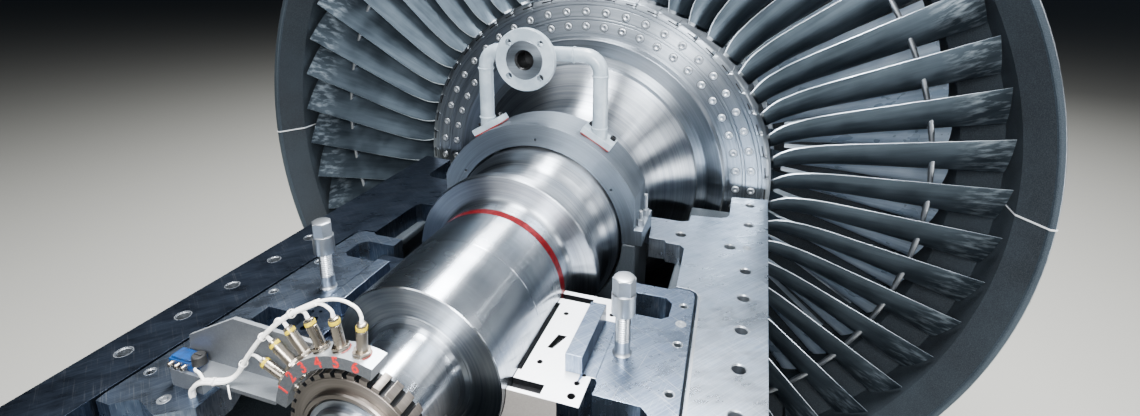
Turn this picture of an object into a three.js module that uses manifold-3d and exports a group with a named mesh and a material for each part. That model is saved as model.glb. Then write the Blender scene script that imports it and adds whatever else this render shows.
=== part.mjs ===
// Steam turbine rotor lying in its opened exhaust-end bearing housing.
// Millimetres, +Z up, rotor axis along Y. Exhaust end towards -Y, steam inlet end towards +Y.
import * as THREE from 'three';
import { mergeVertices } from 'three/addons/utils/BufferGeometryUtils.js';
import Module from 'manifold-3d';

const wasm = await Module();
wasm.setup();

// Driving dimensions
const AXIS_HEIGHT = 1650; // rotor centreline above the floor
const BLADE_COUNT = 52; // last stage, one column of root pins each
const TIP_RADIUS = 1365; // last-stage blade tip
const ROOT_RADIUS = 650; // last-stage blade platform
const DISC_RADIUS = 621; // last-stage disc, inside the platforms
const LIP_RADIUS = 640; // lip of the disc in front of the platforms
const JOURNAL_RADIUS = 181;
const DRUM_RADIUS = 600; // carries the shrouded rows
const COLLAR_RADIUS = 246; // oil thrower behind the journal
const GLAND_SHAFT_RADIUS = 248; // shaft through the gland
const NECK_RADIUS = 100; // stub between journal and toothed wheel
const WHEEL_RADIUS = 132; // toothed speed wheel
const WHEEL_TEETH = 34;
const BEARING_BORE = 182;
const BORE_SEGMENTS = 64;
const GLAND_BORE = 256;
const GLAND_RADIUS = 320;
const GLAND_FLAT = 289; // flats on the sides of the gland half-ring
const FLANGE_HALF_WIDTH = 643; // housing flange, outer edge
const PLATE_THICKNESS = 60;
const CARRIER_BORE = 1374; // casing ring around the last stage
const CARRIER_RADIUS = 1450;
const DIAPHRAGM_RADIUS = 1275; // seat of the guide-blade diaphragm in the casing ring
const SEAT_GAP = 0.3; // between pieces that touch

// Stations along Y, measured from the last-stage disc face
const HOUSING_FRONT = -1500;
const WHEEL_FRONT = -1279;
const WHEEL_BACK = -1244;
const JOURNAL_FRONT = -1104;
const JOURNAL_BACK = -718;
const COLLAR_FRONT = -701;
const COLLAR_BACK = -672;
const GLAND_FRONT = -487;
const GLAND_BACK = -342;
const FLANGE_BACK = -48; // far end of the housing flange strips
const CONE_FRONT = -232; // start of the flare up to the disc
const RIM_FRONT = 36; // front edge of the blade platforms
const RIM_BACK = 236;
const CARRIER_FRONT = 8;
const CARRIER_BACK = 520;
const DRUM_BACK = 1760;
const REAR_JOURNAL_FRONT = 2330;
const REAR_JOURNAL_BACK = 2680;
const COUPLING_BACK = 2980;
const CENTER_Y = (HOUSING_FRONT + COUPLING_BACK) / 2;

const FLOOR = -AXIS_HEIGHT;
const DEG = Math.PI / 180;
const SHAFT_SEGMENTS = 32;
const CASING_SEGMENTS = 48;

const turbine = new THREE.Group();
turbine.name = 'steam_turbine_rotor';
const axisFrame = new THREE.Group(); // origin on the rotor axis at the disc face
axisFrame.position.set(0, -CENTER_Y, AXIS_HEIGHT);
turbine.add(axisFrame);

function steel(color, roughness, metalness = 1) {
  return new THREE.MeshStandardMaterial({ color, roughness, metalness });
}
const polishedSteel = steel(0xc4c8cc, 0.18);
const turnedSteel = steel(0xaeb2b5, 0.32);
const bladeSteel = steel(0x6c757d, 0.38);
const groundPlate = steel(0xc9ced4, 0.3);
const darkPlate = steel(0x4b5058, 0.35);
const castIron = steel(0x3c4045, 0.7, 0.4);
const greyPaint = steel(0xb9bfc4, 0.5, 0);
const nickel = steel(0xb5aea2, 0.25);
const cableJacket = steel(0xe8e8e6, 0.55, 0);
const bluePlastic = steel(0x1f6fb5, 0.45, 0);

// One closed body: vertices merged by position, faces turned outwards.
function closed(geometry) {
  const bare = geometry.clone();
  bare.deleteAttribute('normal');
  bare.deleteAttribute('uv');
  const merged = mergeVertices(bare, 1e-3);
  const p = merged.attributes.position.array;
  const source = merged.index.array;
  const index = [];
  let volume = 0;
  for (let i = 0; i < source.length; i += 3) {
    const [a, b, c] = [source[i], source[i + 1], source[i + 2]];
    if (a === b || b === c || c === a) continue;
    index.push(a, b, c);
    const [ax, ay, az] = [p[3 * a], p[3 * a + 1], p[3 * a + 2]];
    const [bx, by, bz] = [p[3 * b], p[3 * b + 1], p[3 * b + 2]];
    const [cx, cy, cz] = [p[3 * c], p[3 * c + 1], p[3 * c + 2]];
    volume += ax * (by * cz - bz * cy) + ay * (bz * cx - bx * cz) + az * (bx * cy - by * cx);
  }
  if (volume < 0) index.reverse();
  merged.setIndex(index);
  return merged;
}

function toSolid(geometry) {
  const g = closed(geometry);
  return new wasm.Manifold(new wasm.Mesh({
    numProp: 3,
    vertProperties: new Float32Array(g.attributes.position.array),
    triVerts: new Uint32Array(g.index.array),
  }));
}

function fromSolid(solid) {
  const mesh = solid.getMesh();
  const geometry = new THREE.BufferGeometry();
  geometry.setAttribute('position', new THREE.BufferAttribute(mesh.vertProperties, 3));
  geometry.setIndex(new THREE.BufferAttribute(mesh.triVerts, 1));
  return geometry;
}

function union(geometries) {
  return geometries.map(toSolid).reduce((whole, piece) => whole.add(piece));
}

function cut(geometry, tools) {
  return tools.map(toSolid).reduce((whole, tool) => whole.subtract(tool), toSolid(geometry));
}

function add(name, geometry, material) {
  const mesh = new THREE.Mesh(closed(geometry), material);
  mesh.name = name;
  axisFrame.add(mesh);
  return mesh;
}

// Box between two corners.
function box([x0, y0, z0], [x1, y1, z1]) {
  const geometry = new THREE.BoxGeometry(x1 - x0, y1 - y0, z1 - z0);
  return geometry.translate((x0 + x1) / 2, (y0 + y1) / 2, (z0 + z1) / 2);
}

// Body turned about the rotor axis from [radius, station] points.
function turned(profile, segments = SHAFT_SEGMENTS) {
  return new THREE.LatheGeometry(profile.map(([r, y]) => new THREE.Vector2(r, y)), segments);
}

// Closed ring section turned about the rotor axis.
function ring(profile, segments = SHAFT_SEGMENTS) {
  return turned([...profile, profile[0]], segments);
}

function rectangleRing(inner, outer, front, back, segments) {
  return ring([[inner, front], [outer, front], [outer, back], [inner, back]], segments);
}

// Upright cylinder standing on z.
function post(x, y, z, radius, height, sides) {
  const geometry = new THREE.CylinderGeometry(radius, radius, height, sides);
  return geometry.rotateX(Math.PI / 2).translate(x, y, z + height / 2);
}

function shape(points) {
  return new THREE.Shape(points.map(([x, y]) => new THREE.Vector2(x, y)));
}

// Plate with its outline in plan and its top face at z = top.
function plate(points, thickness, top = 0) {
  const geometry = new THREE.ExtrudeGeometry(shape(points), { depth: thickness, bevelEnabled: false });
  return geometry.translate(0, 0, top - thickness);
}

function drill(points, radius, sides = 10) {
  return points.map(([x, y]) => post(x, y, -PLATE_THICKNESS - 5, radius, PLATE_THICKNESS + 10, sides));
}

function mirrorX(points) {
  return points.map(([x, y]) => [-x, y]).reverse();
}

// Photograph stations are given from the camera side and moved to the disc face.
const CAMERA_TO_DISC = 1882;
function fromCamera(points) {
  return points.map(([x, y]) => [x, y - CAMERA_TO_DISC]);
}

// Rotor forging
function makeShaft() {
  const front = [
    [0, -1318],
    [78, -1318],
    [78, WHEEL_FRONT],
    [88, WHEEL_FRONT],
    [88, WHEEL_BACK],
    [NECK_RADIUS, WHEEL_BACK],
    [NECK_RADIUS, JOURNAL_FRONT],
    [JOURNAL_RADIUS, JOURNAL_FRONT],
    [JOURNAL_RADIUS, JOURNAL_BACK],
    [198, -704],
    [COLLAR_RADIUS, COLLAR_FRONT],
    [COLLAR_RADIUS, COLLAR_BACK],
    [222, COLLAR_BACK],
    [222, -570],
    [233, -552],
    [GLAND_SHAFT_RADIUS, -514],
    [GLAND_SHAFT_RADIUS, GLAND_BACK],
    [240, -320],
    [252, CONE_FRONT],
    [300, -130],
    [355, -68],
    [407, -41],
    [442, -12],
    [470, -24],
    [497, -29],
    [505, 0],
    [LIP_RADIUS, 0],
    [LIP_RADIUS, RIM_FRONT - SEAT_GAP],
    [DISC_RADIUS, RIM_FRONT - SEAT_GAP],
    [DISC_RADIUS, RIM_BACK],
    [480, RIM_BACK],
    [470, 300],
  ];
  const middle = [
    [640, 300],
    [640, 470],
    [500, 470],
    [500, 560],
    [DRUM_RADIUS, 560],
    [DRUM_RADIUS, DRUM_BACK],
  ];
  const rear = [
    [430, DRUM_BACK],
    [430, 1940],
    [240, 1960],
    [240, 2290],
    [JOURNAL_RADIUS, 2300],
    [JOURNAL_RADIUS, REAR_JOURNAL_BACK + 20],
    [150, REAR_JOURNAL_BACK + 30],
    [150, 2760],
    [300, 2760],
    [300, 2820],
    [150, 2820],
    [150, 2900],
    [285, 2900],
    [285, COUPLING_BACK],
    [0, COUPLING_BACK],
  ];
  add('shaft_forging', turned([...front, ...middle, ...rear]), turnedSteel);
}

function makeToothedWheel() {
  const pitch = 360 / WHEEL_TEETH;
  const root = WHEEL_RADIUS - 8;
  const outline = new THREE.Shape();
  const bore = new THREE.Path();
  for (let i = 0; i < WHEEL_TEETH; i += 1) {
    const a = i * pitch;
    const corners = [
      [root, 0],
      [WHEEL_RADIUS, 0.02 * pitch],
      [WHEEL_RADIUS, 0.63 * pitch],
      [root, 0.65 * pitch],
    ];
    for (const [r, lead] of corners) {
      const angle = (a + lead) * DEG;
      const [x, y] = [r * Math.cos(angle), r * Math.sin(angle)];
      if (i === 0 && lead === 0) outline.moveTo(x, y);
      else outline.lineTo(x, y);
    }
  }
  bore.absarc(0, 0, 88.8, 0, 2 * Math.PI, true);
  outline.holes.push(bore);
  const wheel = new THREE.ExtrudeGeometry(outline, {
    depth: WHEEL_BACK - WHEEL_FRONT - 1,
    bevelEnabled: false,
    curveSegments: 20,
  });
  wheel.rotateX(Math.PI / 2).translate(0, WHEEL_BACK - 0.5, 0);
  add('toothed_wheel', wheel, turnedSteel);
}

// Blade section from trailing to leading edge: place along the chord, share of the camber and of
// the thickness to each side.
const BLUNT_SECTION = [[0, 0, 0.12], [0.45, 1, 0.5], [1, 0, 0.2]];

// Blade of stacked sections. Each section: radius, trailing edge angle and station, leading edge
// angle and station, depth of the camber and greatest thickness.
function blade(sections, turn) {
  const rings = sections.map(([r, teAngle, teY, leAngle, leY, camber, thick]) => {
    const te = [r * teAngle * DEG, teY];
    const le = [r * leAngle * DEG, leY];
    const chord = [le[0] - te[0], le[1] - te[1]];
    const length = Math.hypot(...chord);
    const normal = [-chord[1] / length, chord[0] / length];
    const at = (t, bow, half) => {
      const offset = camber * bow + thick * half;
      const across = te[0] + chord[0] * t + normal[0] * offset;
      const along = te[1] + chord[1] * t + normal[1] * offset;
      const angle = across / r + turn;
      return [r * Math.cos(angle), along, r * Math.sin(angle)];
    };
    const back = BLUNT_SECTION.map(([t, bow, half]) => at(t, bow, half));
    const belly = BLUNT_SECTION.map(([t, bow, half]) => at(t, bow, -half)).reverse();
    return [...back, ...belly];
  });
  const count = rings[0].length;
  const positions = rings.flat(2);
  const index = [];
  for (let s = 0; s < rings.length - 1; s += 1) {
    for (let i = 0; i < count; i += 1) {
      const j = (i + 1) % count;
      const [a, b, c, d] = [s * count + i, s * count + j, (s + 1) * count + j, (s + 1) * count + i];
      index.push(a, b, c, a, c, d);
    }
  }
  const last = (rings.length - 1) * count;
  for (let i = 0; i < count / 2 - 1; i += 1) {
    const [a, b, c, d] = [i, i + 1, count - 2 - i, count - 1 - i];
    index.push(a, c, b, a, d, c);
    index.push(last + a, last + b, last + c, last + a, last + c, last + d);
  }
  const geometry = new THREE.BufferGeometry();
  geometry.setAttribute('position', new THREE.Float32BufferAttribute(positions, 3));
  geometry.setIndex(index);
  return geometry;
}

function bladeRow(name, platform, sections, count, phase, material) {
  const pieces = [platform];
  for (let i = 0; i < count; i += 1) pieces.push(blade(sections, (phase + (i * 360) / count) * DEG));
  add(name, fromSolid(union(pieces)), material);
}

function makeBladeRows() {
  const lastStage = [
    [ROOT_RADIUS - 8, 9.9, 48, 7.6, 223, 42, 22],
    [730, 12.0, 54, 6.2, 216, 36, 20],
    [950, 11.5, 71, 4.6, 203, 20, 14],
    [TIP_RADIUS, 10.1, 103, 4.4, 188, 2, 7],
  ];
  const platform = rectangleRing(DISC_RADIUS + 2, ROOT_RADIUS, RIM_FRONT, RIM_BACK, BLADE_COUNT);
  bladeRow('last_stage_blades', platform, lastStage, BLADE_COUNT, 0, bladeSteel);
  const secondLast = [
    [655, 9.6, 318, 7.4, 452, 30, 18],
    [1255, 9.6, 342, 4.4, 416, 2, 7],
  ];
  const inner = rectangleRing(642, 663, 306, 464, BLADE_COUNT);
  bladeRow('second_last_blades', inner, secondLast, BLADE_COUNT, 0, bladeSteel);
}

// Shrouded drum rows: station of the front edge, width and tip radius.
const DRUM_ROWS = [
  [600, 120, 930],
  [800, 100, 830],
  [970, 90, 770],
  [1130, 80, 730],
  [1280, 75, 700],
  [1420, 70, 680],
  [1560, 65, 665],
];

function makeDrumRows() {
  DRUM_ROWS.forEach(([front, width, tip], i) => {
    add(`drum_row_${i + 1}`, rectangleRing(DRUM_RADIUS + 0.4, tip, front, front + width), bladeSteel);
  });
}

// Photo-end housing
const RIGHT_FLANGE = fromCamera([
  [FLANGE_HALF_WIDTH, CAMERA_TO_DISC + HOUSING_FRONT],
  [FLANGE_HALF_WIDTH, CAMERA_TO_DISC + FLANGE_BACK],
  [530, 1820],
  [530, 1677],
  [523, 1660],
  [507, 1649],
  [418, 1638],
  [417, 1597],
  [396, 1587],
  [297, 1587],
  [297, 1530],
  [315, 1522],
  [322, 1454],
  [366, 1454],
  [373, 1441],
  [412, 1439],
  [425, 1425],
  [432, 1232],
  [465, 1230],
  [479, 1222],
  [486, 1205],
  [500, 853],
  [516, CAMERA_TO_DISC + HOUSING_FRONT],
]);

const RIGHT_INNER = fromCamera([
  [337, 831],
  [427, 831],
  [470, 790],
  [470, 480],
  [508, 480],
  [493, 853],
  [479, 1203],
  [474, 1217],
  [463, 1224],
  [433, 1226],
  [417, 1216],
  [332, 1216],
  [332, 1177],
  [416, 1177],
  [433, 1158],
  [433, 1107],
  [418, 1093],
  [332, 1093],
  [332, 870],
  [337, 862],
]);

const LEFT_INNER = fromCamera([
  [-332, 870],
  [-332, 1093],
  [-418, 1093],
  [-433, 1107],
  [-433, 1158],
  [-416, 1177],
  [-332, 1177],
  [-332, 1216],
  [-417, 1216],
  [-433, 1226],
  [-463, 1224],
  [-474, 1217],
  [-479, 1203],
  [-503, 548],
  [-500, 531],
  [-468, 531],
  [-442, 552],
  [-428, 557],
  [-370, 539],
  [-316, 575],
  [-316, 640],
  [-384, 790],
  [-433, 800],
  [-433, 850],
  [-384, 850],
  [-360, 870],
]);

const RIGHT_LARGE_HOLES = [862, 986, 1110, 1234, 1358, 1626, 1770].map((y) => [588, y]);
const LEFT_LARGE_HOLES = [637, 763, 889, 1015, 1141].map((y) => [-585, y]);
const RIGHT_SMALL_HOLES = [[459, 1157], [465, 1020], [470, 877]];
const LEFT_SMALL_HOLES = [[-481, 615], [-471, 901], [-467, 1044]];

function makePlates() {
  const right = cut(plate(RIGHT_FLANGE, PLATE_THICKNESS), [
    ...drill(fromCamera(RIGHT_LARGE_HOLES), 15),
    ...drill(fromCamera([[543, 1475], [405, 1502]]), 16),
  ]);
  add('flange_right', fromSolid(right), groundPlate);
  const left = cut(plate(mirrorX(RIGHT_FLANGE), PLATE_THICKNESS), drill(fromCamera(LEFT_LARGE_HOLES), 15));
  add('flange_left', fromSolid(left), darkPlate);
  const rightInner = cut(plate(RIGHT_INNER, PLATE_THICKNESS), drill(fromCamera(RIGHT_SMALL_HOLES), 9));
  add('bearing_frame_right', fromSolid(rightInner), groundPlate);
  const leftInner = cut(plate(LEFT_INNER, PLATE_THICKNESS), drill(fromCamera(LEFT_SMALL_HOLES), 9));
  add('bearing_frame_left', fromSolid(leftInner), darkPlate);
}

function makeHousing() {
  const top = -PLATE_THICKNESS - SEAT_GAP;
  for (const side of [-1, 1]) {
    const profile = shape([
      [side * 440, FLOOR],
      [side * 440, FLOOR + 60],
      [side * 520, FLOOR + 80],
      [side * 520, -220],
      [side * 400, top - 20],
      [side * 400, top],
      [side * 620, top],
      [side * 620, FLOOR + 80],
      [side * 680, FLOOR + 60],
      [side * 680, FLOOR],
    ]);
    const wall = new THREE.ExtrudeGeometry(profile, {
      depth: FLANGE_BACK - HOUSING_FRONT,
      bevelEnabled: false,
    });
    wall.rotateX(Math.PI / 2).translate(0, FLANGE_BACK, 0);
    add(side < 0 ? 'housing_wall_left' : 'housing_wall_right', wall, castIron);
  }
  const [x0, x1] = [-520 + SEAT_GAP, 520 - SEAT_GAP];
  add('housing_front_wall', box([x0, HOUSING_FRONT, FLOOR + 90], [x1, HOUSING_FRONT + 60, -230]), castIron);
  const bore = turned([[0, -600], [GLAND_BORE, -600], [GLAND_BORE, 0], [0, 0]]);
  const gland = cut(box([-295, GLAND_FRONT, -520], [295, -300, -SEAT_GAP]), [bore]);
  add('gland_ring_lower', fromSolid(gland), castIron);
  add('housing_rear_wall', box([x0, -500, FLOOR + 90], [x1, -300, -520 - SEAT_GAP]), castIron);
}

// Oil pockets in the bearing's joint face, right side
const OIL_SLOT = [[170, 1096], [258, 1096], [258, 1116], [170, 1116]];
const FRONT_SLOT = [[170, 802], [246, 802], [246, 826], [170, 826]];
const OIL_RELIEF = [[170, 850], [189, 850], [189, 1078], [170, 1078]];
const WEDGE_POCKET = [[213, 926], [225, 926], [241, 972], [222, 972]];

function makeBearing() {
  const bore = turned([[0, -1200], [BEARING_BORE, -1200], [BEARING_BORE, -700], [0, -700]], BORE_SEGMENTS);
  const block = plate(fromCamera([
    [-331.7, 872],
    [-331.7, 1129],
    [331.7, 1129],
    [331.7, 872],
    [323, 872],
    [323, 793],
    [-323, 793],
    [-323, 872],
  ]), 420, 0);
  const pockets = [OIL_SLOT, FRONT_SLOT, OIL_RELIEF, WEDGE_POCKET].flatMap((outline) => [
    plate(fromCamera(outline), 24, 10),
    plate(fromCamera(mirrorX(outline)), 24, 10),
  ]);
  add('bearing_lower_half', fromSolid(cut(block, [bore, ...pockets])), groundPlate);
  add(
    'bearing_pedestal',
    box([-400, -1110, FLOOR], [400, -750, -420 - SEAT_GAP]),
    castIron,
  );
}

function makeStuds() {
  for (const side of [-1, 1]) {
    const name = side < 0 ? 'left' : 'right';
    const [x, y] = [side * 362, 960 - CAMERA_TO_DISC];
    const stud = union([
      post(x, y, SEAT_GAP, 15, 100, 12),
      post(x, y, 92, 24, 46, 12),
      post(x, y, 138, 24, 34, 6),
      post(x, y, 172, 14, 10, 12),
    ]);
    add(`clamp_stud_${name}`, fromSolid(stud), polishedSteel);
    const bar = box(
      [side < 0 ? -285 : 270, 872 - CAMERA_TO_DISC, SEAT_GAP],
      [side < 0 ? -250 : 305, 1050 - CAMERA_TO_DISC, 40],
    );
    add(`key_bar_${name}`, bar, turnedSteel);
  }
}

// Upper half of the gland ring with its leak-off pipe
const PIPE_RADIUS = 21;
const PIPE_X = 172;
const PIPE_Y = 1450 - CAMERA_TO_DISC;
const PIPE_TOP = 512;
const PAD_ANGLE = 59.5; // from the joint plane
const FLANGE_FACE = 1326 - CAMERA_TO_DISC;

function padBlock(side) {
  const pad = new THREE.BoxGeometry(98, 62, 22);
  pad.translate(0, 0, GLAND_RADIUS + 9);
  pad.rotateY(side * (90 - PAD_ANGLE) * DEG);
  return pad.translate(0, PIPE_Y + 8, 0);
}

function makeGland() {
  const half = box([-GLAND_FLAT, GLAND_FRONT - 10, SEAT_GAP], [GLAND_FLAT, GLAND_BACK + 10, 400]);
  const fullRing = rectangleRing(GLAND_BORE, GLAND_RADIUS, GLAND_FRONT, GLAND_BACK, 64);
  const body = toSolid(fullRing).intersect(toSolid(half));
  const holes = [[0, 275], [-222, 155], [222, 155]].map(([x, z]) => {
    const hole = new THREE.CylinderGeometry(4, 4, 60, 8);
    return toSolid(hole.translate(x, GLAND_FRONT, z));
  });
  const ears = [-1, 1].map((side) => {
    const [a, b] = side < 0 ? [-312, -280] : [280, 312];
    return toSolid(box([a, GLAND_FRONT, SEAT_GAP], [b, GLAND_BACK, 46]));
  });
  const eared = ears.reduce((solid, ear) => solid.add(ear), body);
  const drilled = holes.reduce((solid, hole) => solid.subtract(hole), eared);
  add('gland_ring_upper', fromSolid(drilled), castIron);
}

function makeLeakOffPipe() {
  const bend = 48;
  const path = new THREE.CurvePath();
  const corner = (from, mid, to) => path.add(new THREE.QuadraticBezierCurve3(from, mid, to));
  const v = (x, z) => new THREE.Vector3(x, PIPE_Y, z);
  const foot = 278;
  path.add(new THREE.LineCurve3(v(-PIPE_X, foot), v(-PIPE_X, PIPE_TOP - bend)));
  corner(v(-PIPE_X, PIPE_TOP - bend), v(-PIPE_X, PIPE_TOP), v(-PIPE_X + bend, PIPE_TOP));
  path.add(new THREE.LineCurve3(v(-PIPE_X + bend, PIPE_TOP), v(PIPE_X - bend, PIPE_TOP)));
  corner(v(PIPE_X - bend, PIPE_TOP), v(PIPE_X, PIPE_TOP), v(PIPE_X, PIPE_TOP - bend));
  path.add(new THREE.LineCurve3(v(PIPE_X, PIPE_TOP - bend), v(PIPE_X, foot)));
  const section = new THREE.Shape();
  section.absarc(0, 0, PIPE_RADIUS, 0, 2 * Math.PI, false);
  const run = new THREE.ExtrudeGeometry(section, { steps: 20, curveSegments: 5, extrudePath: path });
  const branch = new THREE.CylinderGeometry(30, 30, PIPE_Y - FLANGE_FACE - 18, 16);
  branch.translate(0, (PIPE_Y + FLANGE_FACE + 18) / 2, PIPE_TOP);
  const flange = new THREE.CylinderGeometry(82.5, 82.5, 18, 32);
  flange.translate(0, FLANGE_FACE + 11, PIPE_TOP);
  const raised = new THREE.CylinderGeometry(51, 51, 3, 32);
  raised.translate(0, FLANGE_FACE + 1.5, PIPE_TOP);
  const bore = new THREE.CylinderGeometry(27, 27, 130, 16);
  bore.translate(0, FLANGE_FACE + 45, PIPE_TOP);
  const holes = [45, 135, 225, 315].map((a) => {
    const hole = new THREE.CylinderGeometry(9, 9, 60, 10);
    return hole.translate(62.5 * Math.cos(a * DEG), FLANGE_FACE, PIPE_TOP + 62.5 * Math.sin(a * DEG));
  });
  let pipe = union([run, branch, flange, raised, padBlock(-1), padBlock(1)]);
  for (const tool of [bore, ...holes]) pipe = pipe.subtract(toSolid(tool));
  const seat = GLAND_RADIUS + SEAT_GAP;
  pipe = pipe.subtract(toSolid(turned([[0, -600], [seat, -600], [seat, -200], [0, -200]], 64)));
  add('leak_off_pipe', fromSolid(pipe), greyPaint);
}

// Speed and position sensors around the toothed wheel
const ARC_FRONT = 603 - CAMERA_TO_DISC;
const ARC_BACK = 643 - CAMERA_TO_DISC;
const ARC_INNER = 141;
const ARC_OUTER = 163;
const ARC_END = 168;
const BRACKET_LEFT = -406;
const SHELF_TOP = 36;
const SENSOR_FIRST = 84.6;
const SENSOR_PITCH = 14.1;
const SENSOR_COUNT = 6;
const SENSOR_Y = (ARC_FRONT + ARC_BACK) / 2;
const SENSOR_END = 221;

function makeSensors() {
  const outline = new THREE.Shape();
  outline.absarc(0, 0, ARC_OUTER, 80 * DEG, ARC_END * DEG, false);
  outline.absarc(0, 0, ARC_INNER, ARC_END * DEG, 72 * DEG, true);
  outline.lineTo(48, 156);
  const arc = new THREE.ExtrudeGeometry(outline, {
    depth: ARC_BACK - ARC_FRONT,
    bevelEnabled: false,
    curveSegments: 12,
  });
  arc.rotateX(Math.PI / 2).translate(0, ARC_BACK, 0);
  const along = (geometry, radius, angle) => {
    geometry.rotateX(Math.PI / 2).translate(0, 0, radius);
    geometry.rotateY((90 - angle) * DEG);
    return geometry.translate(0, SENSOR_Y, 0);
  };
  let holder = toSolid(arc);
  for (let i = 0; i < SENSOR_COUNT; i += 1) {
    const angle = SENSOR_FIRST + i * SENSOR_PITCH;
    holder = holder.subtract(toSolid(along(new THREE.CylinderGeometry(9.4, 9.4, 60, 12), 152, angle)));
    const sensor = union([
      along(new THREE.CylinderGeometry(9, 9, SENSOR_END - 137, 12), (SENSOR_END + 137) / 2, angle),
      along(new THREE.CylinderGeometry(14, 14, 8, 6), ARC_OUTER + 4.6, angle),
    ]);
    add(`sensor_${SENSOR_COUNT - i}`, fromSolid(sensor), nickel);
  }
  add('sensor_arc', fromSolid(holder), castIron);
}

// Angle bracket that carries the sensor arc, and the small terminal box on it
function makeSensorBracket() {
  const shelf = box([BRACKET_LEFT, ARC_FRONT, SHELF_TOP - 8], [-145, ARC_BACK + 1, SHELF_TOP]);
  const foot = box([BRACKET_LEFT, ARC_FRONT, SEAT_GAP], [-330, ARC_BACK + 8, SHELF_TOP - 7]);
  const web = new THREE.ExtrudeGeometry(shape([
    [BRACKET_LEFT, SHELF_TOP - 8],
    [BRACKET_LEFT + 8, 81],
    [-280, 143],
    [-90, 136],
    [-90, SHELF_TOP - 8],
  ]), { depth: 8 - SEAT_GAP, bevelEnabled: false });
  web.rotateX(Math.PI / 2).translate(0, ARC_BACK + 8, 0);
  const besideArc = turned([
    [0, ARC_FRONT - 5],
    [ARC_OUTER + SEAT_GAP, ARC_FRONT - 5],
    [ARC_OUTER + SEAT_GAP, ARC_BACK + SEAT_GAP],
    [0, ARC_BACK + SEAT_GAP],
  ], 60);
  const roundWheel = turned([
    [0, ARC_BACK - 5],
    [145, ARC_BACK - 5],
    [145, ARC_BACK + 20],
    [0, ARC_BACK + 20],
  ], 60);
  const bracket = union([shelf, foot, web]).subtract(toSolid(besideArc)).subtract(toSolid(roundWheel));
  add('sensor_bracket', fromSolid(bracket), groundPlate);
  const knob = post(-348, 618 - CAMERA_TO_DISC, 56, 12, 14, 10);
  const terminal = union([box([-412, -1274, SHELF_TOP + SEAT_GAP], [-348, -1243, 58]), knob]);
  add('terminal_box', fromSolid(terminal), bluePlastic);
}

// Sensor leads curve over to the left into one bundle, which comes down in front of the bracket's
// web, runs along its shelf and goes down to the plate. Points: x, station from the camera, z.
const BUNDLE_ROUTE = [
  [-62, 623, 238],
  [-119, 623, 204],
  [-150, 623, 180],
  [-189, 622, 143],
  [-219, 621, 108],
  [-240, 619, 78],
  [-256, 615, 54],
  [-268, 607, 46],
  [-290, 598, 44],
  [-315, 595, 39],
  [-335, 594, 25],
  [-345, 594, 10],
  [-345, 594, SEAT_GAP],
];
const LEAD_ROUTES = [
  [[16, 623, 242], [3, 623, 249], [-14, 623, 252], [-38, 623, 248], [-64, 623, 237]],
  [[-42, 623, 234], [-55, 623, 237], [-75, 623, 231], [-92, 623, 221]],
  [[-98, 623, 214], [-121, 623, 203]],
  [[-146, 623, 188], [-161, 622, 169]],
  [[-188, 622, 148], [-203, 622, 127]],
  [[-213, 622, 100], [-229, 620, 96], [-243, 618, 74]],
];
const TERMINAL_LEAD = [[-312, 596, 40], [-326, 600, 50], [-340, 604, 49], [-346, 607.4, 48]];

function tube(points, radius, steps) {
  const stops = points.map(([x, y, z]) => new THREE.Vector3(x, y - CAMERA_TO_DISC, z));
  const path = new THREE.CatmullRomCurve3(stops);
  const section = new THREE.Shape();
  section.absarc(0, 0, radius, 0, 2 * Math.PI, false);
  return new THREE.ExtrudeGeometry(section, { steps, curveSegments: 4, extrudePath: path });
}

function makeCables() {
  const leads = LEAD_ROUTES.map((route, i) => {
    const angle = (SENSOR_FIRST + i * SENSOR_PITCH) * DEG;
    const radii = [SENSOR_END + 0.4, SENSOR_END + 7];
    const start = radii.map((r) => [r * Math.cos(angle), 623, r * Math.sin(angle)]);
    return tube([...start, ...route], 2.6, route.length + 3);
  });
  const whole = union([tube(BUNDLE_ROUTE, 6, 16), ...leads, tube(TERMINAL_LEAD, 2.6, 4)]);
  add('sensor_cables', fromSolid(whole), cableJacket);
}

// Casing ring around the last stage, split at axis height
function makeCarrier() {
  const shell = ring([
    [1432, CARRIER_FRONT],
    [CARRIER_RADIUS, CARRIER_FRONT],
    [CARRIER_RADIUS, 460],
    [1500, 470],
    [1500, CARRIER_BACK],
    [DIAPHRAGM_RADIUS, CARRIER_BACK],
    [DIAPHRAGM_RADIUS, 330],
    [CARRIER_BORE, 225],
    [CARRIER_BORE, 93],
  ], CASING_SEGMENTS);
  const bore = CARRIER_BORE - 0.5;
  const clear = turned([
    [0, -200],
    [bore, -200],
    [bore, 225],
    [1274, 330],
    [1274, 540],
    [0, 540],
  ], CASING_SEGMENTS);
  const upperEars = [-1, 1].map((side) => {
    const [a, b] = side < 0 ? [-1524, -1400] : [1400, 1524];
    return box([a, 180, -70], [b, CARRIER_BACK, 70]);
  });
  const legs = [-1, 1].map((side) => {
    const [a, b] = side < 0 ? [-1050, -800] : [800, 1050];
    return box([a, 160, FLOOR + 120 + SEAT_GAP], [b, 460, -880]);
  });
  const whole = union([shell, ...upperEars, ...legs]).subtract(toSolid(clear));
  const top = toSolid(box([-2000, -100, SEAT_GAP / 2], [2000, 900, 2000]));
  const bottom = toSolid(box([-2000, -100, -2000], [2000, 900, -SEAT_GAP / 2]));
  add('casing_ring_upper', fromSolid(whole.intersect(top)), castIron);
  add('casing_ring_lower', fromSolid(whole.intersect(bottom)), castIron);
  const seat = DIAPHRAGM_RADIUS - SEAT_GAP;
  const diaphragm = toSolid(rectangleRing(660, seat, CARRIER_BACK - 30, CARRIER_BACK, CASING_SEGMENTS));
  add('diaphragm_upper', fromSolid(diaphragm.intersect(top)), castIron);
  add('diaphragm_lower', fromSolid(diaphragm.intersect(bottom)), castIron);
}

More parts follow.
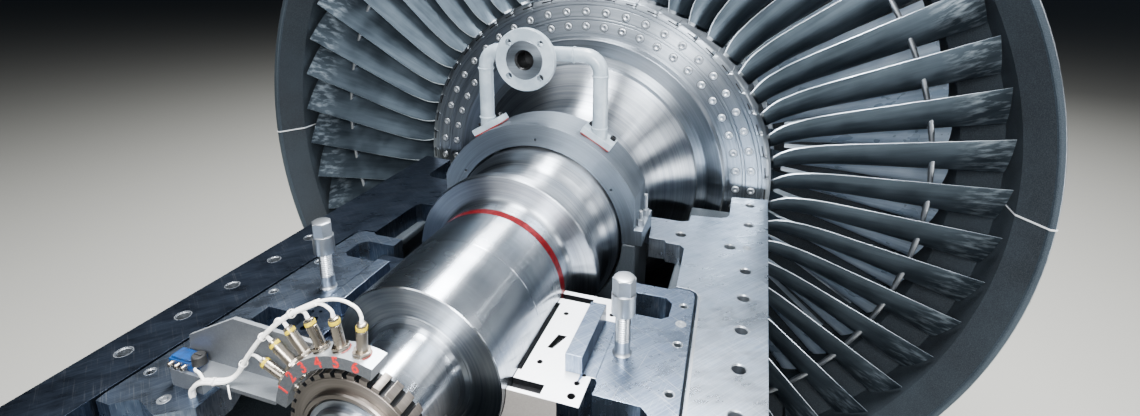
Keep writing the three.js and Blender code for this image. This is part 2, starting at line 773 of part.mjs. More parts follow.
// Inlet-end pedestal and foundation beams
function makeInletEnd() {
  const bore = turned([[0, 2200], [BEARING_BORE, 2200], [BEARING_BORE, 2800], [0, 2800]], BORE_SEGMENTS);
  const block = union([
    box([-520, REAR_JOURNAL_FRONT, -PLATE_THICKNESS], [520, REAR_JOURNAL_BACK, 0]),
    box([-420, REAR_JOURNAL_FRONT, FLOOR + 60], [420, REAR_JOURNAL_BACK, -PLATE_THICKNESS]),
    box([-520, REAR_JOURNAL_FRONT - 30, FLOOR], [520, REAR_JOURNAL_BACK + 30, FLOOR + 60]),
  ]).subtract(toSolid(bore));
  add('inlet_pedestal', fromSolid(block), castIron);
  add('cross_beam', box([-1120, 130, FLOOR], [1120, 490, FLOOR + 120]), castIron);
  add('front_beam', box([-160, -300, FLOOR], [160, 130 - SEAT_GAP, FLOOR + 120]), castIron);
  add(
    'rear_beam',
    box([-160, 490 + SEAT_GAP, FLOOR], [160, REAR_JOURNAL_FRONT - 30 - SEAT_GAP, FLOOR + 120]),
    castIron,
  );
}

makeShaft();
makeToothedWheel();
makeBladeRows();
makeDrumRows();
makePlates();
makeHousing();
makeBearing();
makeStuds();
makeGland();
makeLeakOffPipe();
makeSensors();
makeSensorBracket();
makeCables();
makeCarrier();
makeInletEnd();

export default turbine;
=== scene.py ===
import math

import bmesh
import bpy
from bpy.props import FloatProperty, FloatVectorProperty, IntProperty, PointerProperty
from mathutils import Matrix, Vector


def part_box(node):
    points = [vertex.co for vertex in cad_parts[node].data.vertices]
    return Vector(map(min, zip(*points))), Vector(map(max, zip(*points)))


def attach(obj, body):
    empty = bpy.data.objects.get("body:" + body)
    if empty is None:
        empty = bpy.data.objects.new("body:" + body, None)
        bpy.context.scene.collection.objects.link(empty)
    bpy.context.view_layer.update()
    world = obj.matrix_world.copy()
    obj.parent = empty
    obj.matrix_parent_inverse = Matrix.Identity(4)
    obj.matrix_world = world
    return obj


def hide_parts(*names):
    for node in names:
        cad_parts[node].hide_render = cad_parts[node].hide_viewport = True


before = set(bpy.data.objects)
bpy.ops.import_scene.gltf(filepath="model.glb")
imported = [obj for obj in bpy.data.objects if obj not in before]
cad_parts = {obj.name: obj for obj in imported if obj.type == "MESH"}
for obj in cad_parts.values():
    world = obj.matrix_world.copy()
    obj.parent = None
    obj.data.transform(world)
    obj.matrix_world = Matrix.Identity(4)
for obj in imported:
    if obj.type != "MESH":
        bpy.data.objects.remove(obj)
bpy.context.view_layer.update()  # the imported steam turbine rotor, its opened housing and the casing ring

bl_info = {
    "name": "Steam turbine rotor",
    "version": (1, 0),
    "blender": (4, 5, 0),
    "location": "3D View > Sidebar > Turbine",
    "description": "Finished pieces for a steam turbine rotor lying in its opened housing",
    "category": "Add Mesh",
}

SHAFT_LOW, SHAFT_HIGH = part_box("shaft_forging")
MM = 0.001
FLANGE_TO_FACE = 48 * MM  # from the end of the joint flange to the last-stage disc face
FACE_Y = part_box("flange_right")[1].y + FLANGE_TO_FACE
AXIS_Z = (SHAFT_LOW.z + SHAFT_HIGH.z) / 2
AXIS = Vector((0, 1, 0))
UP = Vector((0, 0, 1))
BODY_OF_CASING = "housing"
BODY_OF_SHAFT = "rotor"
MERGE_GAP = 1e-6
CAD_MERGE_GAP = 2e-5
FACING = 0.7  # a face looks to a side when its normal leans further than this towards it
PROFILE_SLOPE = 1.37


def spot(x, station, z):
    """Point in metres from millimetres: across, along the shaft from the disc face, above the axis."""
    return Vector((x * MM, FACE_Y + station * MM, AXIS_Z + z * MM))


def around(radius, angle, station):
    """Point at a radius and an angle in degrees, from +X towards +Z, round the shaft axis."""
    turn = math.radians(angle)
    return spot(radius * math.cos(turn), station, radius * math.sin(turn))


def outward(angle):
    """Direction from the shaft axis at an angle in degrees, from +X towards +Z."""
    turn = math.radians(angle)
    return Vector((math.cos(turn), 0, math.sin(turn)))


def linear(colour):
    """An sRGB hex colour as linear RGBA."""
    parts = [int(colour[i:i + 2], 16) / 255 for i in (1, 3, 5)]
    return tuple(c / 12.92 if c <= 0.04045 else ((c + 0.055) / 1.055) ** 2.4 for c in parts) + (1.0,)


# Nodes and finishes

def add_node(tree, kind, sockets=None, **settings):
    """Adds a node with its settings, and fills or links its sockets."""
    node = tree.nodes.new(kind)
    for name, value in settings.items():
        setattr(node, name, value)
    for key, value in (sockets or {}).items():
        if isinstance(value, bpy.types.NodeSocket):
            tree.links.new(value, node.inputs[key])
        else:
            node.inputs[key].default_value = value
    return node


def new_finish(name):
    """An empty node material, with its tree and the object coordinates in metres."""
    material = bpy.data.materials.new(name)
    material.use_nodes = True
    tree = material.node_tree
    tree.nodes.clear()
    return material, tree, add_node(tree, "ShaderNodeTexCoord").outputs["Object"]


def surface(tree, sockets):
    """Sends a principled shader with these sockets to the output."""
    shader = add_node(tree, "ShaderNodeBsdfPrincipled", sockets)
    add_node(tree, "ShaderNodeOutputMaterial", {"Surface": shader.outputs["BSDF"]})


def pattern(tree, vector, size_mm, low, high, detail=3.0, turn=0.0, shift=0.0):
    """Cloudy pattern, 0 under low and 1 over high, with grains of a real size across, along and up."""
    sizes = size_mm if isinstance(size_mm, tuple) else (size_mm, size_mm, size_mm)
    placing = {"Vector": vector, "Location": (shift, shift, 0), "Rotation": (0, 0, turn),
               "Scale": [s * MM for s in sizes]}
    placed = add_node(tree, "ShaderNodeMapping", placing, vector_type="TEXTURE").outputs[0]
    grains = {"Vector": placed, "Scale": 1.0, "Detail": detail, "Roughness": 0.56}
    cloud = add_node(tree, "ShaderNodeTexNoise", grains).outputs["Fac"]
    reached = {"Value": cloud, "From Min": low, "From Max": high}
    return add_node(tree, "ShaderNodeMapRange", reached).outputs[0]


def shaft_coordinates(tree, coordinates):
    """Vector for marks that run round the shaft, made of direction and depth, and the radius."""
    from_centre = {0: coordinates, 1: (0, FACE_Y, AXIS_Z)}
    centred = add_node(tree, "ShaderNodeVectorMath", from_centre, operation="SUBTRACT").outputs[0]
    flattened = {0: centred, 1: (1, 0, 1)}
    across = add_node(tree, "ShaderNodeVectorMath", flattened, operation="MULTIPLY").outputs[0]
    radius = add_node(tree, "ShaderNodeVectorMath", {0: across}, operation="LENGTH").outputs["Value"]
    direction = add_node(tree, "ShaderNodeVectorMath", {0: across}, operation="NORMALIZE").outputs[0]
    station = add_node(tree, "ShaderNodeSeparateXYZ", {0: centred}).outputs["Y"]
    # this slope keeps radius and station from cancelling out on any face of the profile
    slanted = {0: station, 1: PROFILE_SLOPE, 2: radius}
    depth = add_node(tree, "ShaderNodeMath", slanted, operation="MULTIPLY_ADD").outputs[0]
    lift = add_node(tree, "ShaderNodeCombineXYZ", {"Y": depth}).outputs[0]
    marks = add_node(tree, "ShaderNodeVectorMath", {0: direction, 1: lift}, operation="ADD").outputs[0]
    return marks, radius


def turned_steel(name, colour, dark, roughness, ring_mm, groove_mm, spread):
    """Steel turned on a lathe: the tool's rings, drawn coarse to show, spread its highlights."""
    material, tree, coordinates = new_finish(name)
    shaft = shaft_coordinates(tree, coordinates)[0]
    rings = pattern(tree, shaft, (1400, ring_mm, 1400), 0.3, 0.7)
    bands = pattern(tree, shaft, (1100, 7 * ring_mm, 1100), 0.3, 0.7)
    wiped = pattern(tree, coordinates, 170, 0.3, 0.7)
    tone = add_node(tree, "ShaderNodeMix", {0: 0.5, 2: rings, 3: bands}).outputs[0]
    mixed = {0: tone, 6: linear(dark), 7: linear(colour)}
    gloss = {"Value": wiped, "To Min": roughness * 0.85, "To Max": roughness * 1.2}
    grooves = {"Height": rings, "Strength": 0.3, "Distance": groove_mm * MM}
    surface(tree, {
        "Base Color": add_node(tree, "ShaderNodeMix", mixed, data_type="RGBA").outputs[2],
        "Metallic": 1.0,
        "Roughness": add_node(tree, "ShaderNodeMapRange", gloss).outputs[0],
        "Anisotropic": spread,
        "Anisotropic Rotation": 0.25,
        "Tangent": add_node(tree, "ShaderNodeTangent", direction_type="RADIAL", axis="Y").outputs[0],
        "Normal": add_node(tree, "ShaderNodeBump", grooves).outputs[0],
    })
    return material


def blade_steel(name, colour, dark, metallic, roughness, scuffed_from):
    """Milled and polished blades: satin streaks along each blade, and pale scuffs outside a radius."""
    material, tree, coordinates = new_finish(name)
    shaft, radius = shaft_coordinates(tree, coordinates)
    streaks = pattern(tree, shaft, (16, 260, 16), 0.34, 0.66, detail=4.0)
    clouds = pattern(tree, coordinates, 140, 0.35, 0.65)
    scuffs = pattern(tree, shaft, (11, 60, 11), 0.47, 0.75, detail=6.0)
    tone = add_node(tree, "ShaderNodeMix", {0: 0.45, 2: streaks, 3: clouds}).outputs[0]
    mixed = {0: tone, 6: linear(dark), 7: linear(colour)}
    plain = add_node(tree, "ShaderNodeMix", mixed, data_type="RGBA").outputs[2]
    near = {"Value": radius, "From Min": scuffed_from * MM, "From Max": (scuffed_from + 90) * MM}
    outside = add_node(tree, "ShaderNodeMapRange", near).outputs[0]
    scuffed = add_node(tree, "ShaderNodeMath", {0: outside, 1: scuffs}, operation="MULTIPLY").outputs[0]
    worn = {0: scuffed, 6: plain, 7: linear("#b3c3d0")}
    gloss = {"Value": clouds, "To Min": roughness * 0.85, "To Max": roughness * 1.35}
    marks = {"Height": scuffs, "Strength": 0.08, "Distance": 0.12 * MM}
    surface(tree, {
        "Base Color": add_node(tree, "ShaderNodeMix", worn, data_type="RGBA").outputs[2],
        "Metallic": metallic,
        "Roughness": add_node(tree, "ShaderNodeMapRange", gloss).outputs[0],
        "Normal": add_node(tree, "ShaderNodeBump", marks).outputs[0],
    })
    return material


def ground_steel(name, colour, stain, roughness, scratch, metallic=1.0):
    """Ground joint face: clouded with oil film, crossed by grinding lines and handling scratches."""
    material, tree, coordinates = new_finish(name)
    clouds = pattern(tree, coordinates, 110, 0.36, 0.62, detail=5.0)
    smears = pattern(tree, coordinates, (60, 22, 40), 0.4, 0.66, detail=5.0, turn=0.5)
    lines = pattern(tree, coordinates, (150, 2.6, 40), 0.42, 0.6, detail=2.0, turn=0.9)
    cross = pattern(tree, coordinates, (90, 2.2, 40), 0.6, 0.7, detail=2.0, turn=-0.6, shift=3.0)
    long = pattern(tree, coordinates, (120, 1.8, 40), 0.66, 0.72, detail=2.0, turn=1.4, shift=7.0)
    film = add_node(tree, "ShaderNodeMix", {0: 0.4, 2: clouds, 3: smears}).outputs[0]
    tone = add_node(tree, "ShaderNodeMix", {0: 0.3, 2: film, 3: lines}).outputs[0]
    mixed = {0: tone, 6: linear(stain), 7: linear(colour)}
    base = add_node(tree, "ShaderNodeMix", mixed, data_type="RGBA").outputs[2]
    scored = add_node(tree, "ShaderNodeMath", {0: cross, 1: long}, operation="MAXIMUM").outputs[0]
    faint = add_node(tree, "ShaderNodeMath", {0: scored, 1: scratch}, operation="MULTIPLY").outputs[0]
    marked = {0: faint, 6: base, 7: linear("#eef3f8")}
    gloss = {"Value": film, "To Min": roughness * 1.35, "To Max": roughness * 0.8}
    scores = {"Height": lines, "Strength": 0.12, "Distance": 0.05 * MM}
    surface(tree, {
        "Base Color": add_node(tree, "ShaderNodeMix", marked, data_type="RGBA").outputs[2],
        "Metallic": metallic,
        "Roughness": add_node(tree, "ShaderNodeMapRange", gloss).outputs[0],
        "Normal": add_node(tree, "ShaderNodeBump", scores).outputs[0],
    })
    return material


def cast_iron(name, colour, dark, speck, roughness, metallic, grain_mm):
    """Casting or machined casting: clouded tone with the grit of the sand mould or the cutter's grain."""
    material, tree, coordinates = new_finish(name)
    grit = pattern(tree, coordinates, grain_mm, 0.4, 0.75)
    clouds = pattern(tree, coordinates, 300, 0.35, 0.66, detail=5.0)
    mixed = {0: clouds, 6: linear(dark), 7: linear(colour)}
    plain = add_node(tree, "ShaderNodeMix", mixed, data_type="RGBA").outputs[2]
    few = add_node(tree, "ShaderNodeMath", {0: grit, 1: 0.3}, operation="MULTIPLY").outputs[0]
    spotted = {0: few, 6: plain, 7: linear(speck)}
    gloss = {"Value": clouds, "To Min": roughness * 1.12, "To Max": roughness * 0.86}
    grains = {"Height": grit, "Strength": 0.25, "Distance": 0.3 * MM}
    surface(tree, {
        "Base Color": add_node(tree, "ShaderNodeMix", spotted, data_type="RGBA").outputs[2],
        "Metallic": metallic,
        "Roughness": add_node(tree, "ShaderNodeMapRange", gloss).outputs[0],
        "Normal": add_node(tree, "ShaderNodeBump", grains).outputs[0],
    })
    return material


def smooth_finish(name, colour, dark, metallic, roughness, cloud_mm, uneven_mm=0.0, coat=0.0):
    """Plating, paint or plastic: one colour with faint cloudy wear, and brush marks if uneven."""
    material, tree, coordinates = new_finish(name)
    clouds = pattern(tree, coordinates, cloud_mm, 0.38, 0.62, detail=4.0)
    mixed = {0: clouds, 6: linear(dark), 7: linear(colour)}
    gloss = {"Value": clouds, "To Min": roughness * 1.2, "To Max": roughness * 0.85}
    sockets = {
        "Base Color": add_node(tree, "ShaderNodeMix", mixed, data_type="RGBA").outputs[2],
        "Metallic": metallic,
        "Roughness": add_node(tree, "ShaderNodeMapRange", gloss).outputs[0],
        "Coat Weight": coat,
        "Coat Roughness": 0.25,
    }
    if uneven_mm:
        runs = pattern(tree, coordinates, (7, 7, 30), 0.3, 0.7, detail=2.0)
        brushed = {"Height": runs, "Strength": 0.12, "Distance": uneven_mm * MM}
        sockets["Normal"] = add_node(tree, "ShaderNodeBump", brushed).outputs[0]
    surface(tree, sockets)
    return material


# Each finish: how it is made and with which values, under a comment on what the real one gives the eye
FINISHES = {
    # rough-turned forging of stub, hub and drum: soft rings, bright sectors that fan out from the axis
    "turned_alloy_steel": (turned_steel, "#b9c0c8", "#747c86", 0.33, 6, 0.05, 0.94),
    # finely faced disc: darker and stiller than the hub, with close rings between the pins
    "disc_alloy_steel": (turned_steel, "#9aa2aa", "#666e77", 0.36, 5, 0.06, 0.93),
    # ground and polished running surfaces: near mirror, lights draw thin lines along the shaft
    "polished_journal_steel": (turned_steel, "#ccd3db", "#9fa8b2", 0.25, 5, 0.02, 0.92),
    # milled and hardened speed wheel, never polished: warm tan grey, satin
    "milled_wheel_steel": (turned_steel, "#968f89", "#6b655f", 0.36, 4, 0.03, 0.8),
    # red marking lacquer brushed thin on bright steel: deep red with a metallic shine
    "signal_red_paint": (smooth_finish, "#86000f", "#5e000a", 0.85, 0.34, 9),
    # forged stainless long blades: dark blue grey satin, scuffed pale at the tips
    "blade_stainless_steel": (blade_steel, "#57646f", "#3a454f", 0.85, 0.38, 1200),
    # their trailing edges, painted pale as a painted highlight: a thin bright line
    "ground_edge_steel": (blade_steel, "#ccd7e1", "#a7b5c2", 0.85, 0.34, 1500),
    # shrouded rows and guide vanes behind: clean silver grey satin
    "row_blade_steel": (blade_steel, "#98a3ae", "#6d7883", 0.95, 0.36, 1500),
    # blades of the row behind the long ones, painted bright silver blue as a painted reflection
    "inner_blade_steel": (blade_steel, "#d0e1f3", "#8da5bf", 0.3, 0.3, 1500),
    # freshly ground flange of the joint plane: bright silver blue with swirls and scratches
    "fresh_ground_steel": (ground_steel, "#c9d4e0", "#8091a6", 0.3, 0.3),
    # ground inner frames and key bars, handled and oiled more: duller silver blue
    "ground_steel": (ground_steel, "#9fafc4", "#54637a", 0.27, 0.3),
    # the bearing's joint face and the ring's seam, painted almost white as a painted reflection: matt
    "bearing_face_steel": (ground_steel, "#f1f4f7", "#dfe3e8", 0.42, 0.1, 0.45),
    # the same ground steel painted dark slate as painted shade, for the shaded sides of the joint planes:
    # still scratched
    "oiled_steel": (ground_steel, "#566276", "#2a323e", 0.3, 0.08),
    # grey iron casting with thin dark primer: matt and gritty
    "primed_cast_iron": (cast_iron, "#2c343b", "#191f25", "#5f676d", 0.5, 0.35, 3),
    # machined rim of the casing ring: lighter, with a dull shine
    "ring_rim_iron": (cast_iron, "#4c5761", "#343e47", "#74808a", 0.38, 0.7, 3),
    # faced gland ring: even mid grey with a faint turned sheen
    "gland_steel": (turned_steel, "#87919b", "#69727c", 0.42, 3, 0.02, 0.6),
    # scraped bronze-backed front of the bearing: light warm grey
    "bearing_front_steel": (cast_iron, "#b3aea9", "#98938e", "#c9c5c0", 0.45, 0.6, 2.5),
    # milled aluminium holder's edges
    "holder_aluminium": (cast_iron, "#b9c0c7", "#969da4", "#ced4d9", 0.42, 0.8, 2.5),
    # front faces of holder and bracket, painted dull dark grey as painted shade
    "anodised_aluminium": (cast_iron, "#63676c", "#494d52", "#82868b", 0.44, 0.6, 2.5),
    # brushed machine enamel: light grey with faint runs, slightly glossy
    "machine_enamel": (smooth_finish, "#9ba8b2", "#7f8d98", 0.0, 0.34, 60, 0.3, 0.25),
    # nickel-plated brass: warm bright silver
    "nickel_plating": (smooth_finish, "#aba397", "#958d82", 1.0, 0.28, 90),
    # turned bright bar: clean silver; also laid on as painted highlight lines on the right groove edge and
    # the ring's rim edge
    "bright_turned_steel": (smooth_finish, "#adb3b9", "#969ca3", 1.0, 0.38, 120),
    # blackened screws; also painted into the tooth gaps, the bearing's holes and bore and the flange's bore
    # as painted shade
    "black_oxide_steel": (smooth_finish, "#1b1d20", "#0f1012", 0.6, 0.4, 6),
    # soft cable jacket: white, dull
    "white_pvc": (smooth_finish, "#f7f7f5", "#e9e9e5", 0.0, 0.4, 20, 0.05),
    # marking sleeve: strong yellow
    "yellow_band_plastic": (smooth_finish, "#cdb400", "#b39b00", 0.0, 0.4, 8),
    # squeezed-out sealing compound: dull red
    "red_sealant": (smooth_finish, "#8f0a04", "#6b0603", 0.0, 0.45, 5, 0.2),
    # paint stick on the holder: bright red
    "red_marker_paint": (smooth_finish, "#d0141e", "#b00e17", 0.0, 0.5, 5),
    # moulded ABS box: medium blue
    "blue_abs": (smooth_finish, "#053468", "#04264d", 0.0, 0.4, 12, 0.05),
    # rubber grip: near black, matt
    "black_rubber": (smooth_finish, "#17181a", "#0f1011", 0.0, 0.55, 6, 0.05),
}


def finish(name):
    """A finish by its name, made when it is first asked for."""
    maker, *values = FINISHES[name]
    return bpy.data.materials.get(name) or maker(name, *values)


# Modelling

def deselect():
    bpy.ops.object.select_all(action="DESELECT")


def take(piece):
    """Makes a piece the only selected and active one."""
    deselect()
    piece.select_set(True)
    bpy.context.view_layer.objects.active = piece
    return piece


def place(piece):
    """Puts a new piece's place into its mesh."""
    take(piece)
    bpy.ops.object.transform_apply(location=True, rotation=True, scale=True)
    return piece


def begin(point):
    """A new mesh of one vertex at the point, in edit mode."""
    deselect()
    bpy.ops.mesh.primitive_plane_add(size=10 * MM, location=point)
    piece = place(bpy.context.object)
    bpy.ops.object.mode_set(mode="EDIT")
    bpy.ops.mesh.select_all(action="SELECT")
    bpy.ops.mesh.merge(type="CENTER")
    return piece


def draw(points):
    """Extrudes edges from the first point through the others."""
    for here, there in zip(points, points[1:]):
        bpy.ops.mesh.extrude_region_move(TRANSFORM_OT_translate={"value": there - here})


def merge_all():
    bpy.ops.mesh.select_all(action="SELECT")
    bpy.ops.mesh.remove_doubles(threshold=MERGE_GAP)


def revolve(profile, steps, origin=None, along=AXIS, turn=360.0, start=0.0, fill=False):
    """Spins a profile of radius and height in millimetres round a line."""
    origin = spot(0, 0, 0) if origin is None else origin
    side = Vector((1, 0, 0)) if abs(along.x) < 0.9 else UP
    side = (side - along * side.dot(along)).normalized()
    side = Matrix.Rotation(math.radians(start), 3, along) @ side
    points = [origin + side * (r * MM) + along * (h * MM) for r, h in profile]
    piece = begin(points[0])
    draw(points)
    if fill:
        merge_all()
        bpy.ops.mesh.edge_face_add()
    bpy.ops.mesh.select_all(action="SELECT")
    bpy.ops.mesh.spin(steps=steps, angle=math.radians(turn), center=origin, axis=along)
    merge_all()
    bpy.ops.mesh.normals_make_consistent(inside=False)
    bpy.ops.object.mode_set(mode="OBJECT")
    return piece


def closed_ring(profile, steps, origin=None, along=AXIS, **settings):
    """Spins a closed profile."""
    return revolve([*profile, profile[0]], steps, origin, along, **settings)


def disc(radius, low, high, steps, origin, along=AXIS, start=0.0):
    """Round or many-sided disc between two heights on a line."""
    return revolve([(0, low), (radius, low), (radius, high), (0, high)], steps, origin, along, start=start)


def block(low, high, bevel_mm=1.5, segments=2):
    """Box between two corners given across, along and up, with rounded edges."""
    a, b = spot(*low), spot(*high)
    deselect()
    bpy.ops.mesh.primitive_cube_add(size=1, location=(a + b) / 2)
    piece = bpy.context.object
    piece.scale = [abs(d) for d in b - a]
    return rounded(place(piece), bevel_mm, segments)


def prism(outline, depth, direction, bevel_mm=1.0, segments=2):
    """Closed outline of points, filled and extruded by a depth in millimetres."""
    piece = begin(outline[0])
    draw([*outline, outline[0]])
    merge_all()
    bpy.ops.mesh.edge_face_add()
    bpy.ops.mesh.extrude_region_move(TRANSFORM_OT_translate={"value": direction * depth * MM})
    merge_all()
    bpy.ops.mesh.normals_make_consistent(inside=False)
    bpy.ops.object.mode_set(mode="OBJECT")
    return rounded(piece, bevel_mm, segments) if bevel_mm else piece


def modify(piece, kind, **settings):
    """Adds a modifier with its settings and applies it."""
    take(piece)
    bpy.ops.object.modifier_add(type=kind)
    modifier = piece.modifiers[-1]
    for name, value in settings.items():
        setattr(modifier, name, value)
    bpy.ops.object.modifier_apply(modifier=modifier.name)
    return piece


def rounded(piece, width_mm, segments=2, angle=30):
    return modify(piece, "BEVEL", width=width_mm * MM, segments=segments, limit_method="ANGLE",
                  angle_limit=math.radians(angle))


def smoothed(piece, angle=32):
    take(piece)
    bpy.ops.object.shade_smooth_by_angle(angle=math.radians(angle))
    return piece


def repeat_round(piece, count, origin=None):
    """Copies all of a mesh evenly round the shaft axis, or round a line along it."""
    take(piece)
    bpy.ops.object.mode_set(mode="EDIT")
    bpy.ops.mesh.select_all(action="SELECT")
    origin = spot(0, 0, 0) if origin is None else origin
    turn = math.radians(360 * (count - 1) / count)
    bpy.ops.mesh.spin(steps=count - 1, angle=turn, center=origin, axis=AXIS, dupli=True)
    bpy.ops.object.mode_set(mode="OBJECT")
    return piece


def repeat_at(piece, shifts):
    """Copies all of a mesh by each shift in metres, and leaves the first where it is."""
    take(piece)
    bpy.ops.object.mode_set(mode="EDIT")
    here = Vector()
    bpy.ops.mesh.select_all(action="SELECT")
    for shift in shifts:
        bpy.ops.mesh.duplicate_move(TRANSFORM_OT_translate={"value": Vector(shift) - here})
        here = Vector(shift)
    bpy.ops.object.mode_set(mode="OBJECT")
    return piece


def turn_about(piece, degrees, centre):
    """Turns a mesh about a line along the shaft."""
    take(piece)
    bpy.ops.transform.rotate(value=math.radians(degrees), orient_axis="Y", center_override=centre)
    return place(piece)


def cut_with(piece, tool):
    """Cuts a closed tool out of a piece and removes the tool."""
    modify(piece, "BOOLEAN", object=tool, operation="DIFFERENCE", solver="EXACT")
    bpy.data.objects.remove(tool)
    return piece


def split_at(piece, planes):
    """Splits a mesh's faces along planes, each a normal and a point."""
    take(piece)
    bpy.ops.object.mode_set(mode="EDIT")
    for normal, point in planes:
        bpy.ops.mesh.select_all(action="SELECT")
        bpy.ops.mesh.bisect(plane_co=point, plane_no=normal)
    bpy.ops.object.mode_set(mode="OBJECT")
    return piece


def joined(pieces):
    take(pieces[0])
    for piece in pieces[1:]:
        piece.select_set(True)
    bpy.ops.object.join()
    return bpy.context.object


def solid_copy(node, bevel_mm, segments=2, angle=30):
    """Copy of a CAD node with whole faces and rounded edges."""
    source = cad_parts[node]
    piece = bpy.data.objects.new(node + "_fine", source.data.copy())
    bpy.context.scene.collection.objects.link(piece)
    take(piece)
    bpy.ops.object.mode_set(mode="EDIT")
    bpy.ops.mesh.select_all(action="SELECT")
    bpy.ops.mesh.customdata_custom_splitnormals_clear()
    bpy.ops.mesh.remove_doubles(threshold=CAD_MERGE_GAP)
    bpy.ops.mesh.dissolve_limited(angle_limit=math.radians(1.0))
    bpy.ops.object.mode_set(mode="OBJECT")
    return rounded(piece, bevel_mm, segments, angle)


def tube(points, radius_mm, name, resolution=4, smooth=True):
    """Round bar or lead along points, as a curve turned into a mesh."""
    curve = bpy.data.curves.new(name, "CURVE")
    curve.dimensions = "3D"
    curve.bevel_depth = radius_mm * MM
    curve.bevel_resolution = resolution
    curve.use_fill_caps = True
    curve.resolution_u = 8
    spline = curve.splines.new("BEZIER" if smooth else "POLY")
    if smooth:
        spline.bezier_points.add(len(points) - 1)
        for knot, point in zip(spline.bezier_points, points):
            knot.co = point
            knot.handle_left_type = knot.handle_right_type = "AUTO"
    else:
        spline.points.add(len(points) - 1)
        for knot, point in zip(spline.points, points):
            knot.co = (*point, 1)
    piece = bpy.data.objects.new(name, curve)
    bpy.context.scene.collection.objects.link(piece)
    take(piece)
    bpy.ops.object.convert(target="MESH")
    return bpy.context.object


def give(piece, name, finishes, body, slot, *nodes, smooth=32, even=True):
    """Names a finished piece, gives its materials, hangs it on its body and hides the CAD nodes it replaces.
    """
    smoothed(piece, smooth)
    if even:
        modify(piece, "WEIGHTED_NORMAL", keep_sharp=True)
    piece.name = name
    piece.data.name = name
    materials = piece.data.materials
    while len(materials) < len(finishes):
        materials.append(None)
    while len(materials) > len(finishes):
        materials.pop()
    for i, label in enumerate(finishes):
        materials[i] = finish(label)
    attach(piece, body)
    if nodes:
        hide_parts(*nodes)
    return piece


def paint_faces(piece, choose):
    """Sets each face's material by its radius, station in millimetres and centre."""
    centre = spot(0, 0, 0)
    for face in piece.data.polygons:
        offset = face.center - centre
        radius = math.hypot(offset.x, offset.z) / MM
        face.material_index = choose(radius, offset.y / MM, face)


# Sizes

class RotorSizes(bpy.types.PropertyGroup):
    """Sizes of the turning pieces."""
    blade_count: IntProperty(name="Last-stage blades", description="Blades in the last stage",
                             default=52, min=3)
    shaft_steps: IntProperty(name="Shaft steps", description="Steps round a turned piece",
                             default=144, min=16)
    wheel_teeth: IntProperty(name="Wheel teeth", description="Teeth of the speed wheel",
                             default=34, min=8)
    root_pin: FloatProperty(name="Root pin", description="Diameter of a root pin's head", default=28 * MM,
                            unit="LENGTH")
    damping_pin: FloatProperty(name="Damping pin", description="Diameter of the pins between the blades",
                               default=17 * MM, unit="LENGTH")


class HousingSizes(bpy.types.PropertyGroup):
    """Sizes of the standing pieces."""
    large_hole: FloatProperty(name="Large hole", description="Radius of the flange bolt holes",
                              default=15 * MM, unit="LENGTH")
    small_hole: FloatProperty(name="Small hole", description="Radius of the tapped holes",
                              default=9 * MM, unit="LENGTH")
    pipe_radius: FloatProperty(name="Pipe", description="Outer radius of the leak-off pipe",
                               default=21 * MM, unit="LENGTH")


class StageLook(bpy.types.PropertyGroup):
    """Floor and light."""
    floor_colour: FloatVectorProperty(name="Floor", description="Colour of the studio floor",
                                      subtype="COLOR", size=4, default=linear("#94948f"))
    key_power: FloatProperty(name="Key light", description="Power of the large overhead light in watts",
                             default=2100.0)


# Turning pieces

FLARE_POINTS = [
    (240, -320), (243, -285), (249, -245), (258, -205), (274, -165), (300, -128), (333, -95), (369, -65),
    (403, -43),
]


def through(points, steps):
    """Smooth run of radius and station through measured points, without its ends."""
    padded = [points[0], *points, points[-1]]
    run = []
    for a, b, c, d in zip(padded, padded[1:], padded[2:], padded[3:]):
        for k in range(steps):
            t = k / steps
            run.append(tuple(0.5 * (2 * q + (r - p) * t + (2 * p - 5 * q + 4 * r - e) * t * t
                                    + (3 * q - p - 3 * r + e) * t ** 3) for p, q, r, e in zip(a, b, c, d)))
    return run[1:]


FLARE = through(FLARE_POINTS, 4)
SHAFT_PROFILE = [
    (0, -1318), (56, -1318), (60, -1314), (60, -1300), (74, -1300), (78, -1297), (78, -1287), (88, -1287),
    (88, -1245), (100, -1245), (100, -1130), (102, -1117), (108, -1108), (117, -1104), (119, -1106),
    (122, -1104), (178, -1104), (181, -1102), (181, -916.2), (180.2, -915), (181, -913.8), (181, -777),
    (181, -753), (181, -722), (181.8, -716), (184, -710.5), (188, -706.5), (193, -704.6), (198, -704),
    (243.5, -701.2), (246, -698.7), (246, -674), (244, -672), (226, -671), (222, -667), (222, -578),
    (223, -570), (226, -562), (233, -552), (236, -548), (246.5, -516), (248, -512), (248, -345),
    (246, -341), (240, -320), *FLARE, (407, -41), (409, -37), (410, -14), (439, -9), (442, -9),
    (443, -12.5), (447, -13), (470, -22), (494, -29), (497, -28), (499, -10), (502, 1), (513, 1),
    (514, 0), (556, 0), (557, 1.6), (558.5, 1.6), (559.5, 0), (566, 0), (567, 1.6), (568.5, 1.6), (569.5, 0),
    (607, 0), (608, 1.6), (609.5, 1.6), (610.5, 0), (621, 0), (621, 236), (480, 236), (470, 300), (640, 300),
    (640, 470), (500, 470), (500, 560), (600, 560), (600, 1760), (430, 1760), (430, 1936), (426, 1940),
    (246, 1956), (240, 1962), (240, 2286), (234, 2292), (185, 2298), (181, 2302), (181, 2696), (177, 2700),
    (154, 2708), (150, 2712), (150, 2757), (153, 2760), (297, 2760), (300, 2763), (300, 2817), (297, 2820),
    (153, 2820), (150, 2823), (150, 2895), (155, 2900), (281, 2900), (285, 2904), (285, 2976), (281, 2980),
    (62, 2980), (60, 2974), (0, 2974),
]
SHAFT_FINISHES = ["turned_alloy_steel", "polished_journal_steel", "disc_alloy_steel", "signal_red_paint"]
